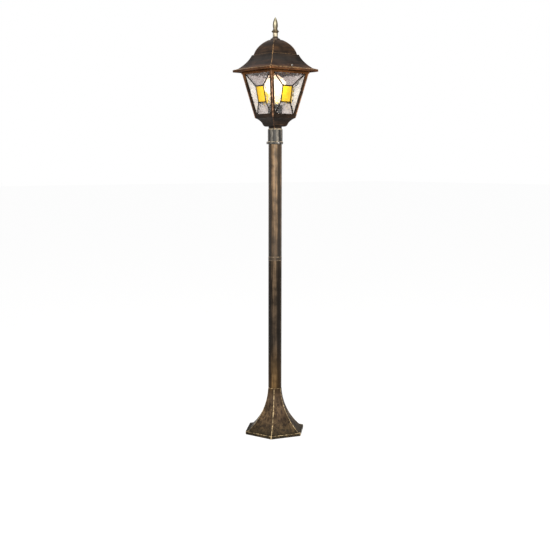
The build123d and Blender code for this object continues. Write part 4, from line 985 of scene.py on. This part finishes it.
# turned pieces: tubes, coupler, collar, finial, lampholder and the bulb's envelope
turnedSettings = {
    "lowerTube": {"node": "lower_tube", "finish": "lowerTubePaint", "edge": 0.3,
                  "outline": [(17.7, 133), (19.3, 133), (19.3, 509), (17.7, 509)]},
    "upperTube": {"node": "upper_tube", "finish": "upperTubePaint", "edge": 0.3,
                  "outline": [(17.7, 521), (19.3, 521), (19.3, 880), (17.7, 880)]},
    "tubeCoupler": {"node": "tube_coupler", "finish": "couplerPaint", "edge": 0.3,
                    "outline": [(14, 474), (17.6, 474), (17.6, 509), (19.05, 509), (19.55, 509.8),
                                (19.55, 520.2), (19.05, 521), (17.6, 521), (17.6, 556), (14, 556)]},
    "clampCollar": {"node": "clamp_collar", "finish": "collarPaint", "edge": 0.5,
                    "outline": [(5.1, 880), (19.4, 880), (19.4, 844), (21.4, 844), (22.6, 845.2),
                                (22.6, 850.8), (21.2, 852), (21.2, 884)]
                    + bow((21.2, 884), (17.6, 889), -1.1, 6) + [(5.1, 889)]},
    "holderShell": {"node": "holder_shell", "finish": "blackPlastic", "edge": 0.6,
                    "outline": [(17.3, 919.5), (19.5, 919.5), (19.5, 952.5), (20.3, 952.5),
                                (20.3, 955.5), (17.3, 955.5)]},
    "holderCap": {"node": "holder_cap", "finish": "blackPlastic", "edge": 0.5,
                  "outline": [(5.05, 903.5), (8.5, 903.5), (8.5, 907.5)]
                  + bow((8.5, 907.5), (19.5, 914.5), 1.6, 8)
                  + [(19.5, 919.5), (15.1, 919.5), (15.1, 914.5)]
                  + bow((15.1, 914.5), (7.4, 909.7), -1.2, 8) + [(5.05, 909.7)]},
}


def finialOutline():
    foot = 1137.0
    points = [(0, foot - 14), (3, foot - 14), (3, foot), (14.2, foot), (14.2, foot + 2.2),
              (13.2, foot + 3.4)]
    points += bow((13.2, foot + 3.4), (7.3, foot + 9.0), 1.1, 8)
    points += [(7.1, foot + 18.6), (7.6, foot + 19.6)]
    points += bow((7.6, foot + 19.6), (11.0, foot + 23.2), 0.3, 4)
    points += bow((11.2, foot + 24.0), (7.2, foot + 28.4), 0.5, 5)
    points += bow((7.2, foot + 28.4), (6.0, foot + 32.4), 0.4, 6)
    points += bow((6.0, foot + 32.4), (7.3, foot + 40.5), -0.4, 8)
    points += bow((7.3, foot + 40.5), (0.8, foot + 63), -1.7, 12)
    return points + [(0, foot + 63)]


def envelopeOutline():
    neck, neckTop, foot, ball, level = 12.7, 968.8, 955.8, 30.0, 1008.6
    blend = ((neck ** 2 + (level - neckTop) ** 2 - ball ** 2) / (2 * (ball - neck)))
    join = atan2(level - neckTop, neck + blend)

    def skin(depth):
        points = [(neck - depth, foot), (neck - depth, neckTop)]
        points += [(neck + blend - (blend + depth) * cos(join * share / 10),
                    neckTop + (blend + depth) * sin(join * share / 10)) for share in range(1, 11)]
        points += [((ball - depth) * cos(angle), level + (ball - depth) * sin(angle))
                   for angle in [-join + (pi / 2 + join) * share / 26 for share in range(1, 27)]]
        return points
    return skin(0) + skin(1.0)[::-1]


turnedSettings["finialTurned"] = {"node": "finial", "finish": "finialPaint", "edge": 0.35,
                                  "outline": finialOutline()}
turnedSettings["bulbEnvelope"] = {"node": "bulb_glass", "finish": "pearlGlass", "edge": 0.0,
                                  "outline": envelopeOutline()}
for name, settings in turnedSettings.items():
    points = settings["outline"]
    if settings["edge"]:
        points = softened(points, settings["edge"])
    place(evenShading(ringedPiece(name, points, settings["finish"])), settings["node"])
print("turned pieces made")

# leaded panels: the geometry of one sloping side
panelSettings = {"footHalf": 41.4, "foot": 918.0, "taper": 25.7 / 123.0, "cameInset": 2.2,
                 "cameThickness": 3.6, "glassInset": 2.9, "glassThickness": 2.2, "cornerGap": 0.5,
                 "low": 2.911, "high": 130.3, "yellowHalf": 17.0, "yellowFoot": 43.9,
                 "yellowTop": 89.9, "cameHalf": 1.9, "rimHalf": 1.9, "heart": 0.6, "cell": 2.2,
                 "ripple": 1.2, "rippleSize": 105.0, "yellowRipple": 0.25, "yellowRippleSize": 60.0,
                 "jointRadius": 3.2,
                 "tones": (0.85, 0.1, 1.0, 0.1)}
lean = atan(panelSettings["taper"])


def sideMatrix(turn, depth):
    # x sideways, y up the slope, z outwards, at a depth behind the frame's outer face
    angle = radians(turn)
    ahead = Vector((cos(angle), sin(angle), 0))
    across = Vector((-sin(angle), cos(angle), 0))
    outwards = ahead * cos(lean) - Vector((0, 0, sin(lean)))
    upwards = outwards.cross(across)
    origin = (ahead * panelSettings["footHalf"] + Vector((0, 0, panelSettings["foot"]))
              - outwards * depth) * mm
    matrix = Matrix.Identity(4)
    for row in range(3):
        matrix[row][0], matrix[row][1] = across[row], upwards[row]
        matrix[row][2], matrix[row][3] = outwards[row], origin[row]
    return matrix


def paneHalf(distance):
    s = panelSettings
    wall = (s["cameInset"] + s["cameThickness"]) / cos(lean)
    return s["footHalf"] + distance * sin(lean) - wall - s["cornerGap"]


paneCorners = [(end * paneHalf(panelSettings[level]), panelSettings[level])
               for end, level in ((-1, "low"), (1, "low"), (1, "high"), (-1, "high"))]
yellowCorners = [(end * panelSettings["yellowHalf"], panelSettings[level]) for end, level in (
    (-1, "yellowFoot"), (1, "yellowFoot"), (1, "yellowTop"), (-1, "yellowTop"))]


def shrunk(corners, distance):
    # a convex field with each edge moved inwards
    moved = []
    for number, corner in enumerate(corners):
        here = Vector(corner)
        before = (here - Vector(corners[number - 1])).normalized()
        after = (Vector(corners[(number + 1) % len(corners)]) - here).normalized()
        first = Vector((-before.y, before.x))
        second = Vector((-after.y, after.x))
        mean = (first + second).normalized()
        moved.append(tuple(here + mean * distance / mean.dot(first)))
    return moved


def slab(work, corners, thickness, cell, tone):
    # a four-cornered pane as a closed slab of small cells, its outer face at z = 0
    sides = [Vector(corner) for corner in corners]
    wide = max((sides[1] - sides[0]).length, (sides[2] - sides[3]).length)
    tall = max((sides[3] - sides[0]).length, (sides[2] - sides[1]).length)
    columns, rows = max(2, round(wide / cell)), max(2, round(tall / cell))
    sheets = []
    toneLayer = work.verts.layers.float["tone"]
    for depth in (0.0, -thickness):
        grid = []
        for row in range(rows + 1):
            up = row / rows
            left, right = sides[0].lerp(sides[3], up), sides[1].lerp(sides[2], up)
            grid.append([work.verts.new((*(left.lerp(right, column / columns) * mm), depth * mm))
                         for column in range(columns + 1)])
        for line in grid:
            for corner in line:
                corner[toneLayer] = tone
        sheets.append(grid)
    front, back = sheets
    for row in range(rows):
        for column in range(columns):
            work.faces.new((front[row][column], front[row][column + 1],
                            front[row + 1][column + 1], front[row + 1][column]))
            work.faces.new((back[row][column], back[row + 1][column],
                            back[row + 1][column + 1], back[row][column + 1]))
    rims = [(front[0], back[0]), ([line[-1] for line in front], [line[-1] for line in back]),
            (front[-1][::-1], back[-1][::-1]),
            ([line[0] for line in front][::-1], [line[0] for line in back][::-1])]
    for outerRim, innerRim in rims:
        for number in range(len(outerRim) - 1):
            work.faces.new((outerRim[number], innerRim[number], innerRim[number + 1],
                            outerRim[number + 1]))


def makeRipples():
    # moves the surface in and out along its normal, each face by its own waves
    tree, source, result = newTree("rippledGlass", "GeometryNodeTree", {
        "Pane": "Geometry", "Depth": 0.0005, "Waves": 100.0, "Seed": 1.0,
        "Finish": "Material"}, {"Pane": "Geometry"})
    normal = wire(tree, "GeometryNodeInputNormal")
    spot = wire(tree, "GeometryNodeInputPosition").vector("ADD", normal.scaled(0.02))
    waves = wire(tree, "ShaderNodeTexNoise", {
        "Vector": spot, "W": source["Seed"], "Scale": source["Waves"], "Detail": 1.0,
        "Distortion": 1.1}, noise_dimensions="4D")
    moved = wire(tree, "GeometryNodeSetPosition", {
        "Geometry": source["Pane"], "Offset": normal.scaled((waves - 0.5) * source["Depth"])})
    link({"Pane": finished(moved, source["Finish"])}, result)
    return tree


rippledGlass = makeRipples()


def panes(name, fields, matrix, depth, waves, seed, finish):
    s = panelSettings
    work = bmesh.new()
    work.verts.layers.float.new("tone")
    for number, field in enumerate(fields):
        slab(work, shrunk(field, s["heart"]), s["glassThickness"], s["cell"], s["tones"][number])
    bmesh.ops.recalc_face_normals(work, faces=work.faces)
    holder = sceneObject(name + "Flat", bmeshMesh(name + "Flat", work))
    grow(holder, rippledGlass, {"Depth": depth * mm, "Waves": waves, "Seed": seed,
                                "Finish": finishes[finish]})
    piece = plainPiece(holder, name, recalculate=False)
    piece.data.set_sharp_from_angle(angle=radians(60))
    return turnedAbout(piece, matrix)


def makeCames():
    # lead cames along a flat lattice, with a solder joint where they meet
    tree, source, result = newTree("leadCames", "GeometryNodeTree", {
        "Lattice": "Geometry", "Half Width": 0.002, "Half Thickness": 0.0018,
        "Joint Radius": 0.0032, "Joint Thickness": 0.0021, "Finish": "Material"},
        {"Cames": "Geometry"})
    curve = wire(tree, "GeometryNodeMeshToCurve", {"Mesh": source["Lattice"]})
    upright = wire(tree, "GeometryNodeSetCurveNormal", {"Curve": curve}, mode="Z_UP")
    circle = wire(tree, "GeometryNodeCurvePrimitiveCircle", {"Resolution": 14, "Radius": 1.0},
                  mode="RADIUS")
    scale = wire(tree, "ShaderNodeCombineXYZ", {0: source["Half Width"],
                                                1: source["Half Thickness"], 2: 1.0})
    oval = wire(tree, "GeometryNodeTransform", {"Geometry": circle, "Scale": scale})
    came = wire(tree, "GeometryNodeCurveToMesh", {"Curve": upright, "Profile Curve": oval,
                                                  "Fill Caps": True})
    meeting = Wire(addNode(tree, "GeometryNodeInputMeshVertexNeighbors").outputs["Vertex Count"])
    corners = wire(tree, "FunctionNodeCompare", {2: meeting, 3: 3}, data_type="INT",
                   operation="GREATER_EQUAL")
    points = wire(tree, "GeometryNodeMeshToPoints", {"Mesh": source["Lattice"],
                                                     "Selection": corners})
    ball = wire(tree, "GeometryNodeMeshUVSphere", {"Segments": 16, "Rings": 10, "Radius": 1.0})
    size = wire(tree, "ShaderNodeCombineXYZ", {0: source["Joint Radius"],
                                               1: source["Joint Radius"],
                                               2: source["Joint Thickness"]})
    joints = wire(tree, "GeometryNodeInstanceOnPoints", {"Points": points, "Instance": ball,
                                                         "Scale": size})
    real = wire(tree, "GeometryNodeRealizeInstances", {"Geometry": joints})
    both = addNode(tree, "GeometryNodeJoinGeometry")
    for part in (came, real):
        tree.links.new(part.socket, both.inputs[0])
    link({"Cames": finished(Wire(both.outputs[0]), source["Finish"])}, result)
    return tree


leadCames = makeCames()


def cames(name, lines, matrix, halfWidth, joint):
    corners, edges = [], []
    for line in lines:
        ends = []
        for point in line:
            known = [number for number, corner in enumerate(corners)
                     if (Vector(corner) - Vector(point)).length < 0.01]
            ends.append(known[0] if known else len(corners))
            if not known:
                corners.append(point)
        edges.append(tuple(ends))
    holder = drawn(name + "Lines", [(x * mm, y * mm, 0) for x, y in corners], edges)
    halfThickness = panelSettings["cameThickness"] / 2
    grow(holder, leadCames, {"Half Width": halfWidth * mm, "Half Thickness": halfThickness * mm,
                             "Joint Radius": joint * mm,
                             "Joint Thickness": (halfThickness + 0.3) * mm,
                             "Finish": finishes["leadCame"]})
    return turnedAbout(plainPiece(holder, name), matrix)


following = (1, 2, 3, 0)  # the next corner of a pane's four
for number, side in enumerate(sides):
    s = panelSettings
    glassPlace = sideMatrix(90 * number, s["glassInset"])
    camePlace = sideMatrix(90 * number, s["cameInset"] + s["cameThickness"] / 2)
    fields = [[paneCorners[corner], paneCorners[after], yellowCorners[after],
               yellowCorners[corner]] for corner, after in enumerate(following)]
    place(panes(f"clearPanes.{side}", fields, glassPlace, s["ripple"], s["rippleSize"],
                number + 1.0, "hammeredGlass"), f"clear_glass_{side}")
    place(panes(f"yellowPane.{side}", [yellowCorners], glassPlace, s["yellowRipple"],
                s["yellowRippleSize"], number + 9.0, "yellowGlass"), f"yellow_glass_{side}")
    border = shrunk(paneCorners, s["rimHalf"])
    inner = [(yellowCorners[corner], yellowCorners[after])
             for corner, after in enumerate(following)]
    inner += list(zip(paneCorners, yellowCorners))
    lattice = cames("innerCames", inner, camePlace, s["cameHalf"], s["jointRadius"])
    rim = cames("rimCames", [(border[corner], border[after])
                             for corner, after in enumerate(following)],
                camePlace, s["rimHalf"], s["rimHalf"])
    place(joined(f"leadCames.{side}", [lattice, rim]), f"leading_{side}")
print("leaded panels made")


# screws with domed, slotted heads: seats as (spot in millimetres, direction)
roofScrew = {"head": 3.3, "height": 2.4, "shank": 1.7, "length": 9.4}
ringDirections = [(cos(radians(angle)), sin(radians(angle)), 0) for angle in (-12, 108, 228)]
screwSettings = {
    "roofScrewRight": {**roofScrew, "node": "roof_screw_right",
                       "seats": [((74.3, 0, 1061.5), (1, 0, 0))]},
    "roofScrewLeft": {**roofScrew, "node": "roof_screw_left",
                      "seats": [((-74.3, 0, 1061.5), (-1, 0, 0))]},
    "collarScrews": {"node": "collar_screws", "head": 3.9, "height": 2.6, "shank": 2.0,
                     "length": 3.1,
                     "seats": [((22.7 * x, 22.7 * y, 848.0), (x, y, z))
                               for x, y, z in ringDirections]},
}


def makeScrewSet():
    # one screw at each point, its head facing along the point's own direction
    tree, source, result = newTree("screwSet", "GeometryNodeTree", {
        "Seats": "Geometry", "Screw": "Object", "Finish": "Material"}, {"Screws": "Geometry"})
    points = wire(tree, "GeometryNodeMeshToPoints", {"Mesh": source["Seats"]})
    facing = wire(tree, "GeometryNodeInputNamedAttribute", {"Name": "facing"},
                  data_type="FLOAT_VECTOR")
    turn = wire(tree, "FunctionNodeAlignRotationToVector", {"Vector": facing}, axis="Z")
    screw = addNode(tree, "GeometryNodeObjectInfo", {"Object": source["Screw"]})
    copies = wire(tree, "GeometryNodeInstanceOnPoints", {
        "Points": points, "Instance": Wire(screw.outputs["Geometry"]), "Rotation": turn})
    real = wire(tree, "GeometryNodeRealizeInstances", {"Geometry": copies})
    link({"Screws": finished(real, source["Finish"], smooth=False)}, result)
    return tree


screwSet = makeScrewSet()


def slottedScrew(settings):
    # domed head above z = 0, shank below it, slot across the head
    s = settings
    dome = [(s["head"] * sin(angle), s["height"] * (0.35 + 0.65 * cos(angle)))
            for angle in [radians(90 - 15 * step) for step in range(6)]]
    tip = -s["length"]
    outline = [(0, tip), (s["shank"] * 0.8, tip), (s["shank"], tip + 0.5), (s["shank"], 0),
               (s["head"], 0)] + dome + [(0, s["height"])]
    screw = ringedPiece("screwBlank", outline, "agedSteel", 32)
    work = bmesh.new()
    bmesh.ops.create_cube(work, size=1.0, matrix=Matrix.Translation((0, 0, s["height"] * mm))
                          @ Matrix.Diagonal((s["head"] * 2.4 * mm, s["head"] * 0.3 * mm,
                                             s["height"] * 0.9 * mm, 1)))
    return cutBy(screw, sceneObject("slot", bmeshMesh("slot", work)))


for name, settings in screwSettings.items():
    screw = slottedScrew(settings)
    holder = drawn(name + "Seats", [Vector(spot) * mm for spot, facing in settings["seats"]])
    attribute = holder.data.attributes.new("facing", "FLOAT_VECTOR", "POINT")
    for number, (spot, facing) in enumerate(settings["seats"]):
        attribute.data[number].vector = facing
    grow(holder, screwSet, {"Screw": screw, "Finish": finishes["agedSteel"]})
    piece = plainPiece(holder, name, recalculate=False)
    bpy.data.objects.remove(screw)
    piece.data.shade_smooth()
    piece.data.set_sharp_from_angle(angle=radians(35))
    place(piece, settings["node"])
print("screws made")


# studio: pale floor, white surroundings and soft lamps
studioSettings = {"floorSize": 60.0, "floorColour": 0.25, "floorGlow": 0.93, "ambient": 0.19,
                  "lamps": {"front": {"azimuth": 46.0, "distance": 3.0, "height": 1.45,
                                      "wide": 0.7, "tall": 0.9, "power": 78,
                                      "colour": (1.0, 0.96, 0.9), "aim": 0.75},
                            "right": {"azimuth": 86.5, "distance": 2.6, "height": 1.5,
                                      "wide": 0.16, "tall": 1.3, "power": 32,
                                      "colour": (1.0, 0.92, 0.78), "aim": 0.9},
                            "left": {"azimuth": 0.0, "distance": 2.6, "height": 1.2,
                                     "wide": 0.3, "tall": 1.2, "power": 4,
                                     "colour": (1.0, 0.97, 0.95), "aim": 0.9}}}


def seenDirectly(tree):
    # camera, glossy and transmission rays, which see the plain white background
    path = addNode(tree, "ShaderNodeLightPath").outputs
    camera, glossy, through = [Wire(path[f"Is {kind} Ray"])
                               for kind in ("Camera", "Glossy", "Transmission")]
    return camera.math("MAXIMUM", glossy).math("MAXIMUM", through)


def makeWorld(settings):
    world = bpy.data.worlds.new("whiteStudio")
    bpy.context.scene.world = world
    world.use_nodes = True
    background = world.node_tree.nodes["Background"]
    background.inputs["Color"].default_value = (1, 1, 1, 1)
    strength = remap(seenDirectly(world.node_tree), 0.0, 1.0, settings["ambient"], 1.0)
    link({"Strength": strength}, background.inputs)


def makeFloor(settings):
    half = settings["floorSize"] / 2
    floor = drawn("studioFloor", [(-half, -half, 0), (half, -half, 0), (half, half, 0),
                                  (-half, half, 0)], [], [(0, 1, 2, 3)])
    pale = settings["floorColour"]
    material, tree, shader = startMaterial("paleFloor", {
        "Base Color": (pale, pale, pale, 1), "Roughness": 0.9, "Specular IOR Level": 0.0,
        "Emission Color": (1, 1, 1, 1)})
    link({"Emission Strength": seenDirectly(tree) * settings["floorGlow"]}, shader.inputs)
    floor.data.materials.append(material)


def makeLamp(name, settings):
    spot = standingSpot(settings)
    data = bpy.data.lights.new(name, "AREA")
    data.shape = "RECTANGLE"
    data.size = settings["wide"]
    data.size_y = settings["tall"]
    data.energy = settings["power"]
    data.color = settings["colour"]
    lamp = sceneObject(name, data)
    lamp.location = spot
    away = spot - Vector((0, 0, settings["aim"]))
    lamp.rotation_euler = away.to_track_quat("Z", "Y").to_euler()


makeWorld(studioSettings)
makeFloor(studioSettings)
for name, settings in studioSettings["lamps"].items():
    makeLamp(name + "Lamp", settings)
print("studio made")
